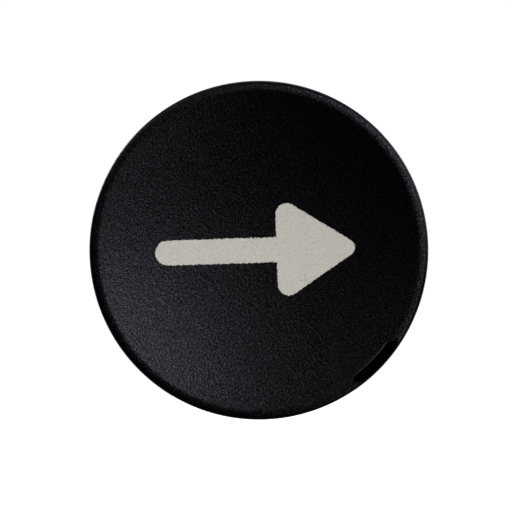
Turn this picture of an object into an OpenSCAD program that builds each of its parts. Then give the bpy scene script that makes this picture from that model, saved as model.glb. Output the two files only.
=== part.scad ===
// Pedestrian push button: a 2 inch dished palm button with a let-in arrow, on a panel-mounted
// operator with a return spring, a rubber boot and a lever-operated snap switch.
// The press axis is Y. The face looks towards -Y, +Z is up and the arrow points to +X.
// The origin is on the press axis, in the plane where the gasket meets the panel.

/* [Button cap] */
// Diameter of the cap
cap_d = 50.8; // [50.8:0.1:52]
// Distance from the panel to the crest of the cap
crest_height = 26; // [25.5:0.1:28]
// Length of the cap from the crest to the end of its skirt
cap_length = 15; // [14:0.1:15.4]
// Wall of the skirt
skirt_wall = 2.2; // [1.8:0.1:2.2]
// Radius of the rim between the crest and the side
rim_radius = 0.75; // [0.4:0.05:1]
// Width of the flat crest around the dish
crest_width = 0.7; // [0.5:0.05:1.2]
// Depth of the dish in its middle
dish_depth = 1.66; // [1:0.02:2]
// Thickness of the cap's front behind the crest
face_thickness = 5.2; // [5:0.1:5.4]

/* [Rim slot] */
// Direction of the slot's middle, anticlockwise from +X
slot_angle = -45; // [-80:1:-10]
// Arc that the slot covers
slot_arc = 19.6; // [10:0.2:30]
// Radial width of the slot
slot_width = 1.35; // [0.8:0.05:1.4]
// Distance from the side of the cap to the slot's inner wall
slot_inset = 1.75; // [1.7:0.05:1.8]
// Depth of the slot from the crest
slot_depth = 4; // [1.5:0.1:4.5]

/* [Arrow] */
// Length of the arrow from tip to tail
arrow_length = 30; // [26:0.1:34]
// How far the arrow's middle sits left of the press axis
arrow_shift = 0.55; // [0:0.05:1]
// Height of the arrow head
head_height = 13.9; // [10:0.1:16]
// Half angle of the arrow head's tip
head_half_angle = 33; // [28:1:40]
// Radius of the head's back corners
head_corner = 1.7; // [0.8:0.05:2]
// Radius of the head's tip
head_tip = 1.3; // [0.6:0.05:1.6]
// Width of the arrow's shaft
shaft_width = 3.8; // [3:0.1:4.4]
// Depth that the arrow is let into the dish
arrow_depth = 0.8; // [0.5:0.05:0.9]

/* [Mechanism] */
// How far the button travels
travel = 3.2; // [2.5:0.05:3.3]
// Diameter of the plunger in the front bush
plunger_front_d = 10; // [9.5:0.1:10]
// Diameter of the plunger in the rear bush
plunger_rear_d = 8; // [7.5:0.1:8]
// Running clearance of the plunger and of the pins that slide, on the radius
running_gap = 0.03; // [0.02:0.005:0.05]
// Diameter of the return spring's wire
spring_wire = 1.2; // [1:0.05:1.3]
// Mean diameter of the return spring
spring_d = 13.2; // [12.8:0.1:13.4]
// Turns of the return spring
spring_turns = 6.5; // [5:0.5:7.5]

/* [Operator body] */
// Diameter of the flange
flange_d = 45; // [44:0.5:45.5]
// Thickness of the flange
flange_thickness = 6; // [5.5:0.1:6.2]
// Diameter of the barrel that goes through the panel
barrel_d = 30; // [29.6:0.1:30]
// Length of the barrel behind the panel's front
barrel_length = 22; // [22:0.1:22.5]
// Diameter of the circle of mounting screws
mount_circle = 38; // [37.6:0.1:38.4]
// Radius of the tapped mounting holes
mount_hole_r = 1.65; // [1.5:0.05:1.8]
// Thickness of the panel gasket
gasket_thickness = 1.5; // [1.5:0.1:1.8]

/* [Snap switch] */
// Length of the switch case
case_length = 19.8; // [19.6:0.1:19.9]
// Width of the switch case
case_width = 6.4; // [6.4:0.1:6.6]
// Depth of the switch case
case_depth = 10.2; // [10.2:0.1:10.4]
// Distance from the press axis to the lever's pivot
lever_arm = 11.4; // [11.2:0.1:11.5]
// Distance from the lever's pivot to the switch pin
pin_offset = 3.6; // [3.4:0.1:3.8]
// Angle of the lever at rest, from the case's front
lever_rest_angle = 16.85; // [16.5:0.05:17]
// Thickness of the lever strip
lever_thickness = 0.4; // [0.35:0.05:0.4]

/* [Hidden] */

seat_gap = 0.03;          // between pieces that are pressed or screwed together
round_fn = 96;            // smoothness of round pieces
through = 1;              // how far a cutting shape runs past the solid it cuts

// cap
cap_r = cap_d / 2;
crest_y = -crest_height;
skirt_end_y = crest_y + cap_length;
face_back_y = crest_y + face_thickness;
skirt_inner_r = cap_r - skirt_wall;
dish_r = cap_r - rim_radius - crest_width;
dish_sphere_r = (dish_r * dish_r + dish_depth * dish_depth) / (2 * dish_depth);
dish_bottom_y = crest_y + dish_depth;
boss_r = 8;
boss_end_y = -16.4;
boot_groove_r = 7;
boot_groove = [-18.4, -17];       // front and rear of the boot's groove in the boss
rib_back_y = -18.6;
rib_count = 6;
rib_thickness = 1.6;
insert_r = 4.5;
insert_front_y = -22.4;
stud_r = 3;

// plunger
front_r = plunger_front_d / 2;
rear_r = plunger_rear_d / 2;
nut_thickness = 3.2;
nut_flats = 10;
shoulder_y = boss_end_y + nut_thickness + seat_gap;
step_y = 0.8;
nose_r = 3;
nose_y = barrel_length + 4;       // middle of the ball that forms the plunger's nose
neck_y = nose_y - 1;
pin_r = 1.25;
pin_y = -5.2;
pin_length = 16;
clip_groove_r = 3.2;
clip_thickness = 0.9;
clip_y = barrel_length + 1.5;     // front face of the retaining ring

// operator body
flange_r = flange_d / 2;
flange_back_y = -gasket_thickness;
flange_front_y = flange_back_y - flange_thickness;
collar_r = 11.5;
collar_front_y = flange_front_y - 1.3;
barrel_r = barrel_d / 2;
bore_r = 9.5;
chamber_end_y = 16;
rear_bore_r = 6;
relief_r = barrel_r - 0.4;
relief_end_y = 0.3;
edge = 0.8;                       // chamfer on the barrel's end
mount_count = 3;
mount_hole_depth = 4.4;
mount_turn = 90;                  // direction of the first mounting hole, from +X towards +Z
clamp_circle = 40;
clamp_hole_r = 1;
clamp_hole_depth = 4;
boot_seat = [16.6, 18.8];         // inner and outer radius of the boot's groove in the flange
boot_seat_depth = 1;

// spring
spring_front_y = step_y + 1;
spring_rear_y = chamber_end_y - 1;

// bracket
foot_thickness = 1.2;
foot_y = barrel_length;
plate_x = -(case_width / 2 + 0.25 + 2 * seat_gap);   // face of the plate next to the insulator
foot_hole = [-6.8, 9.9];          // x and z of the bracket screws
ground_at = [9.2, -6.2];          // x and z of the ground screw

// snap switch
half_width = case_width / 2;
case_z = lever_arm - 8.4;         // height of the middle of the case
swing_room = nose_r + lever_thickness / 2 + 0.08;
pivot_y = nose_y + (swing_room + lever_arm * sin(lever_rest_angle)) / cos(lever_rest_angle);
case_front_y = pivot_y + 1;
case_back_y = case_front_y + case_depth;
cover_thickness = 1.3;
split_x = half_width - cover_thickness;
pivot_r = 0.5;
curl_r = 0.95;
switch_pin_r = 1.1;
switch_pin_z = lever_arm - pin_offset;
screw_hole_r = 1.15;
screw_hole_y = case_front_y + 7.3;
screw_holes_z = [case_z - 4.75, case_z + 4.75];
cavity_y = [case_front_y + 1.2, case_front_y + 5.6];
cavity_half = 8.6;
blade_thickness = 0.25;
blade_y = case_front_y + 3.6;
blade_pivot_z = case_z + 7.2;
contact_z = case_z - 6.8;
tab_thickness = 0.5;
tab_width = 2.8;
tab_length = 6.4;
com_z = case_z + 8;
no_z = case_z - 0.7;
nc_z = case_z - 8.1;

// ---------- helpers ----------

// turns a shape made along +Z so that it runs along +Y
module along_y() {
    rotate([-90, 0, 0]) children();
}

// a solid of revolution about the press axis, from [radius, y] points
module turned(points) {
    along_y() rotate_extrude($fn = round_fn) polygon(points);
}

// a ring about the press axis
module ring(outer, inner, y0, y1) {
    turned([[inner, y0], [outer, y0], [outer, y1], [inner, y1]]);
}

// a straight rod parallel to the press axis
module rod_y(r, y0, y1, x = 0, z = 0, fn = 48) {
    translate([x, y0, z]) along_y() cylinder(r = r, h = y1 - y0, $fn = fn);
}

// a straight rod parallel to X
module rod_x(r, x0, x1, y, z, fn = 48) {
    translate([x0, y, z]) rotate([0, 90, 0]) cylinder(r = r, h = x1 - x0, $fn = fn);
}

// a box from its lowest corner to its highest corner
module block(low, high) {
    translate(low) cube(high - low);
}

// points of a part circle: centre, radius, first and last angle
function arc(centre, r, a0, a1, steps) =
    [for (i = [0:steps]) let (a = a0 + (a1 - a0) * i / steps)
        centre + r * [cos(a), sin(a)]];

// copies the children at equal steps around the press axis
module around(count, first = 0) {
    for (i = [0:count - 1]) rotate([0, -(first + 360 * i / count), 0]) children();
}

// a pan head screw that points towards -Y with its head's underside at y
module pan_screw(r, length, head_r, head_h, y, x, z) {
    translate([x, y, z]) rotate([90, 0, 0]) difference() {
        union() {
            cylinder(r = r, h = length, $fn = 32);
            translate([0, 0, -head_h]) cylinder(r = head_r, h = head_h, $fn = 48);
        }
        for (a = [0, 90]) rotate([0, 0, a])
            translate([-head_r * 0.6, -head_r * 0.12, -head_h - through])
                cube([head_r * 1.2, head_r * 0.24, head_h * 0.55 + through]);
    }
}

// ---------- the button ----------

// the arrow's outline, drawn in by inset all round
module arrow_outline(inset = 0) {
    back_x = head_corner - inset;
    half_shaft = shaft_width / 2 - inset;
    tip_x = arrow_length / 2 - arrow_shift - head_tip;
    tail_x = -arrow_length / 2 - arrow_shift + shaft_width / 2;
    corner_z = head_height / 2 - head_corner;
    // the sloping edges touch both circles at the head's half angle
    corner_x = tip_x - (corner_z + (head_corner - head_tip) / cos(head_half_angle))
        / tan(head_half_angle);
    polygon(concat(
        arc([tip_x, 0], head_tip - inset, head_half_angle - 90, 90 - head_half_angle, 12),
        arc([corner_x, corner_z], back_x, 90 - head_half_angle, 180, 12),
        [[corner_x - back_x, half_shaft]],
        arc([tail_x, 0], half_shaft, 90, 270, 24),
        [[corner_x - back_x, -half_shaft]],
        arc([corner_x, -corner_z], back_x, 180, 270 + head_half_angle, 12)));
}

// the arrow's outline, extruded along the press axis
module arrow_prism(y0, y1, inset = 0) {
    translate([0, y1, 0]) rotate([90, 0, 0]) linear_extrude(y1 - y0) arrow_outline(inset);
}

// the ball whose surface is the dish
module dish_ball() {
    translate([0, dish_bottom_y - dish_sphere_r, 0])
        along_y() rotate_extrude($fn = round_fn)
            intersection() {
                circle(r = dish_sphere_r, $fn = 720);
                translate([0, dish_sphere_r - 2 * dish_depth]) square([dish_r + through, 4 * dish_depth]);
            }
}

module button_cap() {
    color("#161618") difference() {
        turned(concat(
            [[0, crest_y], [cap_r - rim_radius, crest_y]],
            arc([cap_r - rim_radius, crest_y + rim_radius], rim_radius, -90, 0, 8),
            [[cap_r, skirt_end_y - 0.4], [cap_r - 0.4, skirt_end_y],
             [skirt_inner_r + 0.4, skirt_end_y], [skirt_inner_r, skirt_end_y - 0.4],
             [skirt_inner_r, face_back_y + 1], [skirt_inner_r - 1, face_back_y],
             [0, face_back_y]]));
        dish_ball();
        arrow_prism(crest_y - through, dish_bottom_y + arrow_depth);
        rod_y(insert_r + seat_gap, insert_front_y - seat_gap, face_back_y + through, fn = round_fn);
        along_y() rotate([0, 0, -slot_angle - slot_arc / 2])
            rotate_extrude(angle = slot_arc, $fn = round_fn)
            translate([cap_r - slot_inset, crest_y - through])
                square([slot_width, slot_depth + through]);
    }
    color("#161618") cap_boss();
    color("#161618") around(rib_count, 30)
        block([boss_r - 0.3, face_back_y - 0.2, -rib_thickness / 2],
              [skirt_inner_r + 0.3, rib_back_y, rib_thickness / 2]);
}

module cap_boss() {
    bore = insert_r + seat_gap;
    turned([[bore, face_back_y - 0.2], [boss_r, face_back_y - 0.2], [boss_r, boot_groove[0]],
            [boot_groove_r, boot_groove[0]], [boot_groove_r, boot_groove[1]],
            [boss_r, boot_groove[1]], [boss_r, boss_end_y], [bore, boss_end_y]]);
}

module arrow_inlay() {
    color("#b5b2aa") difference() {
        arrow_prism(crest_y, dish_bottom_y + arrow_depth - seat_gap, seat_gap);
        dish_ball();
    }
}

module cap_insert() {
    color("#c9a550") difference() {
        turned([[0, insert_front_y], [insert_r - 0.3, insert_front_y], [insert_r, insert_front_y + 0.3],
                [insert_r, insert_front_y + 2.4], [insert_r - 0.4, insert_front_y + 2.8],
                [insert_r - 0.4, insert_front_y + 3.2], [insert_r, insert_front_y + 3.6],
                [insert_r, boss_end_y - seat_gap], [0, boss_end_y - seat_gap]]);
        rod_y(stud_r, insert_front_y + 0.6, 0);
    }
}

module lock_nut() {
    corner_r = nut_flats / 2 / cos(30);
    color("#c4c6c8") difference() {
        intersection() {
            translate([0, boss_end_y, 0]) along_y() cylinder(r = corner_r, h = nut_thickness, $fn = 6);
            turned([[0, boss_end_y], [corner_r - 0.7, boss_end_y], [corner_r, boss_end_y + 0.4],
                    [corner_r, boss_end_y + nut_thickness - 0.4],
                    [corner_r - 0.7, boss_end_y + nut_thickness], [0, boss_end_y + nut_thickness]]);
        }
        rod_y(stud_r, boss_end_y - through, boss_end_y + nut_thickness + through);
    }
}

module plunger() {
    stud = stud_r - seat_gap;
    stud_front_y = insert_front_y + 1;
    front = front_r - running_gap;
    rear = rear_r - running_gap;
    color("#b9bcbf") difference() {
        turned(concat(
            [[0, stud_front_y], [stud - 0.5, stud_front_y], [stud, stud_front_y + 0.5],
             [stud, shoulder_y], [front - 0.4, shoulder_y], [front, shoulder_y + 0.4],
             [front, step_y], [rear, step_y], [rear, clip_y], [clip_groove_r, clip_y],
             [clip_groove_r, clip_y + clip_thickness + 0.05],
             [rear, clip_y + clip_thickness + 0.05], [rear, neck_y]],
            arc([0, nose_y], nose_r, 0, 90, 12)));
        rod_x(pin_r + seat_gap / 3, -front_r - through, front_r + through, pin_y, 0);
    }
}

module anti_turn_pin() {
    color("#d0d2d4") rod_x(pin_r, -pin_length / 2, pin_length / 2, pin_y, 0);
}

module spring_cup() {
    color("#a8abae") turned([[rear_r + 0.02, step_y + 0.02], [8.6, step_y + 0.02], [8.9, step_y + 0.3],
                             [8.9, step_y + 3], [8.1, step_y + 3], [8.1, spring_front_y],
                             [rear_r + 0.02, spring_front_y]]);
}

module retaining_ring() {
    ring_r = 6.4;
    color("#3c3d40") difference() {
        ring(ring_r, clip_groove_r + 0.03, clip_y + 0.02, clip_y + clip_thickness);
        block([-2.4, clip_y - through, -ring_r - through],
              [2.4, clip_y + clip_thickness + through, 0]);
        for (side = [-1, 1])
            rod_y(1.2, clip_y - through, clip_y + clip_thickness + through, side * 4.4, -1.6);
    }
}

// ---------- the operator body ----------

module operator_body() {
    color("#9da1a5") difference() {
        turned([[bore_r, collar_front_y], [collar_r - 0.4, collar_front_y],
                [collar_r, collar_front_y + 0.4], [collar_r, flange_front_y],
                [boot_seat[0], flange_front_y], [boot_seat[0], flange_front_y + boot_seat_depth],
                [boot_seat[1], flange_front_y + boot_seat_depth], [boot_seat[1], flange_front_y],
                [flange_r - 0.5, flange_front_y], [flange_r, flange_front_y + 0.5],
                [flange_r, flange_back_y - 0.5], [flange_r - 0.5, flange_back_y],
                [relief_r, flange_back_y], [relief_r, relief_end_y], [barrel_r, relief_end_y],
                [barrel_r, barrel_length - edge], [barrel_r - edge, barrel_length],
                [rear_bore_r, barrel_length], [rear_bore_r, chamber_end_y],
                [bore_r, chamber_end_y]]);
        around(mount_count, mount_turn)
            rod_y(mount_hole_r, flange_back_y - mount_hole_depth, flange_back_y + through,
                  mount_circle / 2);
        around(mount_count, mount_turn + 60)
            rod_y(clamp_hole_r, flange_front_y - through, flange_front_y + clamp_hole_depth,
                  clamp_circle / 2);
        for (side = [-1, 1])
            rod_y(1, barrel_length - 5, barrel_length + through, foot_hole[0], side * foot_hole[1]);
        rod_y(1.25, barrel_length - 5, barrel_length + through, ground_at[0], ground_at[1]);
    }
}

module front_bush() {
    y0 = flange_front_y + 0.5;
    y1 = step_y - 0.2;
    slot_end_y = pin_y + travel + pin_r + 0.12;
    slot_half = pin_r + running_gap;
    slot_r = pin_length / 2 + 0.3;
    color("#b08a4c") difference() {
        turned([[front_r, y0 + 0.3], [front_r + 0.3, y0], [bore_r - seat_gap - 0.3, y0],
                [bore_r - seat_gap, y0 + 0.3], [bore_r - seat_gap, y1], [front_r, y1]]);
        block([-slot_r, y0 - through, -slot_half], [slot_r, slot_end_y, slot_half]);
    }
}

module rear_bush() {
    color("#b08a4c") turned([[rear_r, chamber_end_y - 1], [8.8, chamber_end_y - 1],
                             [8.8, chamber_end_y - seat_gap],
                             [rear_bore_r - seat_gap, chamber_end_y - seat_gap],
                             [rear_bore_r - seat_gap, barrel_length - 0.1],
                             [rear_r + 0.3, barrel_length - 0.1], [rear_r, barrel_length - 0.4]]);
}

module wiper_seal() {
    y0 = collar_front_y + 0.15;
    y1 = flange_front_y + 0.4;
    color("#222326") turned([[front_r + 0.05, y0], [front_r + 0.5, y0 - 0.5], [front_r + 1.2, y0 + 0.6],
                             [bore_r - seat_gap - 0.6, y0 + 0.6], [bore_r - seat_gap - 0.6, y0],
                             [bore_r - seat_gap, y0], [bore_r - seat_gap, y1],
                             [front_r + 0.4, y1], [front_r + 0.4, y0 + 0.8], [front_r + 0.05, y0 + 0.4]]);
}

// the boot's middle line from the flange to the cap, [radius, y] at s from 0 to 1
function boot_line(s) =
    let (start = [16.35, flange_front_y - 1.5], end = [8.75, boot_groove[0] + 0.7],
         span = end - start, along = span / norm(span), across = [along[1], -along[0]])
    start + s * span + 1.15 * sin(900 * s) * across;

function boot_side(s, offset) =
    let (step = 0.002, tangent = boot_line(s + step) - boot_line(s - step),
         unit = tangent / norm(tangent))
    boot_line(s) + offset * [unit[1], -unit[0]];

module rubber_boot() {
    steps = 40;
    half = 0.35;
    y0 = flange_front_y;
    outer = [for (i = [0:steps]) boot_side(i / steps, half)];
    inner = [for (i = [0:steps]) boot_side(i / steps, -half)];
    color("#1b1b1d") turned(concat(
        [[boot_seat[0] + 0.1, y0 + boot_seat_depth - 0.05],
         [boot_seat[1] - 0.1, y0 + boot_seat_depth - 0.05],
         [boot_seat[1] - 0.1, y0 + 0.05], [16.8, y0 + 0.05]],
        inner,
        [[boss_r + 0.1, boot_groove[0] + 0.1], [boot_groove_r + 0.05, boot_groove[0] + 0.1],
         [boot_groove_r + 0.05, boot_groove[1] - 0.1], [boss_r + 0.1, boot_groove[1] - 0.1]],
        [for (i = [steps:-1:0]) outer[i]],
        [[boot_seat[0] + 0.1, y0 - 0.7]]));
}

module boot_clamp_ring() {
    y1 = flange_front_y;
    y0 = y1 - 1.2;
    color("#aeb2b5") difference() {
        turned([[17.2, y0], [22, y0], [22.2, y0 + 0.2], [22.2, y1], [17, y1], [17, y0 + 0.2]]);
        around(mount_count, mount_turn + 60)
            rod_y(1.35, y0 - through, y1 + through, clamp_circle / 2);
    }
}

module clamp_screws() {
    color("#8f9295") around(mount_count, mount_turn + 60) mirror([0, 1, 0])
        pan_screw(clamp_hole_r - seat_gap, 4.6, 2.2, 1.4, 1.2 - flange_front_y, clamp_circle / 2, 0);
}

// middle line of the return spring: dead end coils that lie flat, then even working coils
function spring_height(turn) =
    let (dead = 1, free = spring_turns - 2 * dead, solid = spring_wire,
         rise = spring_rear_y - spring_front_y - spring_wire - 0.04 - 2 * solid)
    turn < dead ? solid * turn
        : turn > dead + free ? solid + rise + solid * (turn - dead - free)
        : solid + rise * (turn - dead) / free;

module return_spring() {
    sides = 8;
    per_turn = 20;
    rings = floor(spring_turns * per_turn);
    wire_r = spring_wire / 2;
    points = [for (i = [0:rings]) let (a = 360 * i / per_turn, y = spring_height(i / per_turn))
        for (j = [0:sides - 1]) let (b = 360 * j / sides, r = spring_d / 2 + wire_r * cos(b))
            [r * cos(a), spring_front_y + 0.02 + wire_r + y + wire_r * sin(b), r * sin(a)]];
    faces = concat(
        [[for (j = [0:sides - 1]) j]],
        [for (i = [0:rings - 1]) for (j = [0:sides - 1]) let (k = (j + 1) % sides)
            [i * sides + j, (i + 1) * sides + j, (i + 1) * sides + k, i * sides + k]],
        [[for (j = [sides - 1:-1:0]) rings * sides + j]]);
    color("#c8cacc") polyhedron(points, faces, convexity = 10);
}

module bump_washer() {
    color("#2c2d2f") ring(7.4, rear_r + 0.1, barrel_length + 0.02, clip_y);
}

module panel_gasket() {
    color("#262729") difference() {
        ring(flange_r, barrel_r + 0.05, flange_back_y, 0);
        around(mount_count, mount_turn)
            rod_y(2.3, flange_back_y - through, through, mount_circle / 2);
    }
}

// ---------- the switch and its bracket ----------

module switch_bracket() {
    outer_x = plate_x - foot_thickness;
    arch = [7.9, foot_y + 9];
    edge_z = 11.9;
    foot_x = -8.8;
    end_y = case_front_y + case_depth - 0.6;
    color("#b4b7ba") difference() {
        union() {
            block([outer_x, foot_y, -edge_z], [plate_x, end_y, edge_z]);
            for (side = [-1, 1]) translate([0, 0, side * (arch[0] + edge_z) / 2])
                block([foot_x, foot_y, -(edge_z - arch[0]) / 2],
                      [outer_x + 0.2, foot_y + foot_thickness, (edge_z - arch[0]) / 2]);
        }
        block([outer_x - through, foot_y - through, -arch[0]], [plate_x + through, arch[1], arch[0]]);
        for (side = [-1, 1])
            rod_y(1.4, foot_y - through, foot_y + foot_thickness + through, foot_hole[0],
                  side * foot_hole[1]);
        for (z = screw_holes_z)
            rod_x(screw_hole_r, outer_x - through, plate_x + through, screw_hole_y, z);
    }
}

module bracket_screws() {
    color("#c4c6c8") for (side = [-1, 1])
        pan_screw(1 - seat_gap, 5.4, 1.9, 1.3, foot_y + foot_thickness, foot_hole[0],
                  side * foot_hole[1]);
}

module ground_washer() {
    color("#c4c6c8") translate([ground_at[0], 0, ground_at[1]])
        turned([[1.4, barrel_length], [2.9, barrel_length], [3, barrel_length + 0.2],
                [2.4, barrel_length + 0.7], [1.4, barrel_length + 0.7]]);
}

module ground_screw() {
    color("#4f9a4d") pan_screw(1.25 - seat_gap, 5, 2.5, 1.7, barrel_length + 0.7, ground_at[0],
                               ground_at[1]);
}

module insulator_sheet() {
    color("#d9cfae") difference() {
        block([plate_x + seat_gap, foot_y + 9.4, case_z - case_length / 2],
              [-half_width - seat_gap, case_back_y, case_z + case_length / 2]);
        for (z = screw_holes_z)
            rod_x(screw_hole_r, plate_x - through, -half_width + through, screw_hole_y, z);
    }
}

// the two holes that run across the switch case
module case_screw_holes() {
    for (z = screw_holes_z)
        rod_x(screw_hole_r, -half_width - through, half_width + through, screw_hole_y, z);
}

module switch_base() {
    low = [-half_width, case_front_y, case_z - case_length / 2];
    high = [split_x, case_back_y, case_z + case_length / 2];
    color("#1f2022") difference() {
        union() {
            block(low, high);
            block([-half_width, pivot_y - 0.9, lever_arm - 1.3],
                  [1.1 - half_width, case_front_y + 0.1, lever_arm + 1.3]);
        }
        block([-1.9, cavity_y[0], case_z - cavity_half],
              [split_x + through, cavity_y[1], case_z + cavity_half]);
        rod_y(switch_pin_r + running_gap, case_front_y - through, cavity_y[0] + through, 0, switch_pin_z);
        for (z = [com_z, no_z, nc_z])
            block([-tab_width / 2 - 0.05, cavity_y[1] - through, z - tab_thickness / 2 - 0.03],
                  [split_x + through, case_back_y + through, z + tab_thickness / 2 + 0.03]);
        case_screw_holes();
        rod_x(pivot_r + 0.01, -half_width - through, half_width + through, pivot_y, lever_arm);
    }
}

module switch_cover() {
    color("#2b2c2f") difference() {
        union() {
            block([split_x + seat_gap, case_front_y, case_z - case_length / 2],
                  [half_width, case_back_y, case_z + case_length / 2]);
            block([split_x + 0.15, pivot_y - 0.9, lever_arm - 1.3],
                  [half_width, case_front_y + 0.1, lever_arm + 1.3]);
        }
        case_screw_holes();
        rod_x(pivot_r + 0.01, -half_width - through, half_width + through, pivot_y, lever_arm);
    }
}

module lever_pivot_pin() {
    color("#d0d2d4") rod_x(pivot_r, -half_width + 0.1, half_width - 0.1, pivot_y, lever_arm);
}

module switch_pin() {
    dome_r = 1.4;
    rest_gap = 0.03;
    lift = lever_thickness / 2 / cos(lever_rest_angle) + dome_r * (1 / cos(lever_rest_angle) - 1);
    top_y = pivot_y - pin_offset * tan(lever_rest_angle) + lift + rest_gap;
    foot_y0 = cavity_y[0] + 0.03;
    dome_a = asin(switch_pin_r / dome_r);
    color("#b03a2e") translate([0, 0, switch_pin_z]) turned(concat(
        arc([0, top_y + dome_r], dome_r, -90, dome_a - 90, 6),
        [[switch_pin_r, foot_y0], [1.6, foot_y0], [1.6, foot_y0 + 0.6], [0, foot_y0 + 0.6]]));
}

module switch_lever() {
    width = 3.6;
    length = 16.4;
    half = lever_thickness / 2;
    color("#d2d4d6") translate([0, pivot_y, lever_arm]) rotate([-lever_rest_angle, 0, 0]) difference() {
        union() {
            block([-width / 2, -half, -length], [width / 2, half, 0]);
            rod_x(curl_r, -width / 2, width / 2, 0, 0);
        }
        rod_x(pivot_r + running_gap, -width, width, 0, 0);
    }
}

module snap_blade() {
    width = 2.6;
    y0 = blade_y;
    color("#c58b3f") difference() {
        union() {
            block([-width / 2, y0, contact_z - 1], [width / 2, y0 + blade_thickness, blade_pivot_z]);
            rod_x(0.45, -width / 2, width / 2, y0 + blade_thickness / 2, blade_pivot_z);
        }
        block([-0.7, y0 - through, contact_z + 2.4], [0.7, y0 + through, blade_pivot_z - 2.4]);
        rod_y(0.6, y0 - through, y0 + through, 0, contact_z, 24);
    }
}

module moving_contact() {
    y0 = blade_y - 0.35;
    y1 = blade_y + blade_thickness + 0.35;
    color("#dcdcdc") union() {
        rod_y(0.57, y0, y1, 0, contact_z, 24);
        rod_y(0.95, y0, blade_y - 0.02, 0, contact_z, 32);
        rod_y(0.95, blade_y + blade_thickness + 0.02, y1, 0, contact_z, 32);
    }
}

// a flat tab that leaves the back of the case, with its hole
module tab(z) {
    difference() {
        block([-tab_width / 2, cavity_y[1] - 0.6, z - tab_thickness / 2],
              [tab_width / 2, case_back_y + tab_length, z + tab_thickness / 2]);
        translate([0, case_back_y + tab_length - 2, z - through])
            cylinder(r = 0.65, h = 2 * through, $fn = 24);
    }
}

module com_terminal() {
    color("#cfc8b0") union() {
        tab(com_z);
        block([-tab_width / 2, cavity_y[1] - 1, blade_pivot_z - 0.2],
              [tab_width / 2, cavity_y[1] - 0.6, com_z + tab_thickness / 2]);
    }
}

// the contact that closes when the button is pressed
module no_terminal() {
    contact_y = cavity_y[1] - 0.4;
    color("#cfc8b0") union() {
        tab(no_z);
        block([-tab_width / 2, contact_y, contact_z - 0.8], [tab_width / 2, contact_y + 0.35, no_z]);
        rod_y(0.9, contact_y - 0.3, contact_y + 0.1, 0, contact_z, 32);
    }
}

// the contact that is closed at rest
module nc_terminal() {
    contact_y = cavity_y[0] + 0.9;
    color("#cfc8b0") union() {
        tab(nc_z);
        block([-tab_width / 2, contact_y, nc_z - tab_thickness / 2],
              [tab_width / 2, cavity_y[1] - 0.5, nc_z + tab_thickness / 2]);
        block([-tab_width / 2, contact_y - 0.35, nc_z - tab_thickness / 2],
              [tab_width / 2, contact_y, contact_z + 0.8]);
        rod_y(0.9, contact_y - 0.1, blade_y - 0.41, 0, contact_z, 32);
    }
}

module switch_screws() {
    r = 1 - seat_gap;
    color("#c4c6c8") for (z = screw_holes_z) translate([half_width + 0.02, screw_hole_y, z])
        rotate([0, 0, -90]) pan_screw(r, 10.4, 1.9, 1.3, 0, 0, 0);
}

module switch_nuts() {
    nut_x = plate_x - foot_thickness - 0.02;
    color("#c4c6c8") for (z = screw_holes_z) translate([nut_x, screw_hole_y, z])
        rotate([0, -90, 0]) difference() {
            cylinder(r = 2 / cos(30), h = 1.6, $fn = 6);
            translate([0, 0, -through]) cylinder(r = 1, h = 1.6 + 2 * through, $fn = 32);
        }
}

button_cap();
arrow_inlay();
cap_insert();
lock_nut();
plunger();
anti_turn_pin();
spring_cup();
retaining_ring();
operator_body();
front_bush();
rear_bush();
wiper_seal();
rubber_boot();
boot_clamp_ring();
clamp_screws();
return_spring();
bump_washer();
panel_gasket();
switch_bracket();
bracket_screws();
ground_screw();
ground_washer();
switch_base();
switch_cover();
switch_pin();
switch_lever();
lever_pivot_pin();
snap_blade();
moving_contact();
com_terminal();
no_terminal();
nc_terminal();
switch_screws();
switch_nuts();
insulator_sheet();
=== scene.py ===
"""Looks of the pedestrian push button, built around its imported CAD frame."""

import math
import random

import bmesh
import bpy
from mathutils import Matrix, Vector, noise


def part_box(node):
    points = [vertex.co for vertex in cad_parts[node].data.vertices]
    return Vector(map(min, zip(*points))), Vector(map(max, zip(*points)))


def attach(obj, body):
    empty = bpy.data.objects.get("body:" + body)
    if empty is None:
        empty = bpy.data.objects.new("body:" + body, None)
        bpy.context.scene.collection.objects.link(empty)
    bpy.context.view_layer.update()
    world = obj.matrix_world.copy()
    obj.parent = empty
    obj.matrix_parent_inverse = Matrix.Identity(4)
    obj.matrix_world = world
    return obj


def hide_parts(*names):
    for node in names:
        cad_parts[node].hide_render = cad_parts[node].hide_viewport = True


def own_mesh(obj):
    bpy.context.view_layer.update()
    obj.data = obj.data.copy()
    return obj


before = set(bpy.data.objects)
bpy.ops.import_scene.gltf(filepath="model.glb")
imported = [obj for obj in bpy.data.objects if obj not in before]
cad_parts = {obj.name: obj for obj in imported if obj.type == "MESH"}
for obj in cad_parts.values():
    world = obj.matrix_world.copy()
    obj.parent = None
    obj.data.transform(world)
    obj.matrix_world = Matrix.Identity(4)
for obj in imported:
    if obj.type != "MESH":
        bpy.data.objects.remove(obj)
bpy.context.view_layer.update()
MM = 0.001


# Shapes are made in millimetres, in the CAD frame; fit() turns them into metres.
# The press axis is Y, the face looks towards -Y and +Z is up.

def span(node, axis):
    """Lowest and highest place of a CAD node along X (0), Y (1) or Z (2)."""
    low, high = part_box(node)
    return low[axis] / MM, high[axis] / MM


def centre(node, axis):
    """Middle of a CAD node along an axis."""
    return sum(span(node, axis)) / 2


def turned_size(node):
    """Radius, first y and last y of a CAD node that is round about the press axis."""
    return span(node, 0)[1], *span(node, 1)


# ---------- sizes, most of them read from the frame ----------

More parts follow.
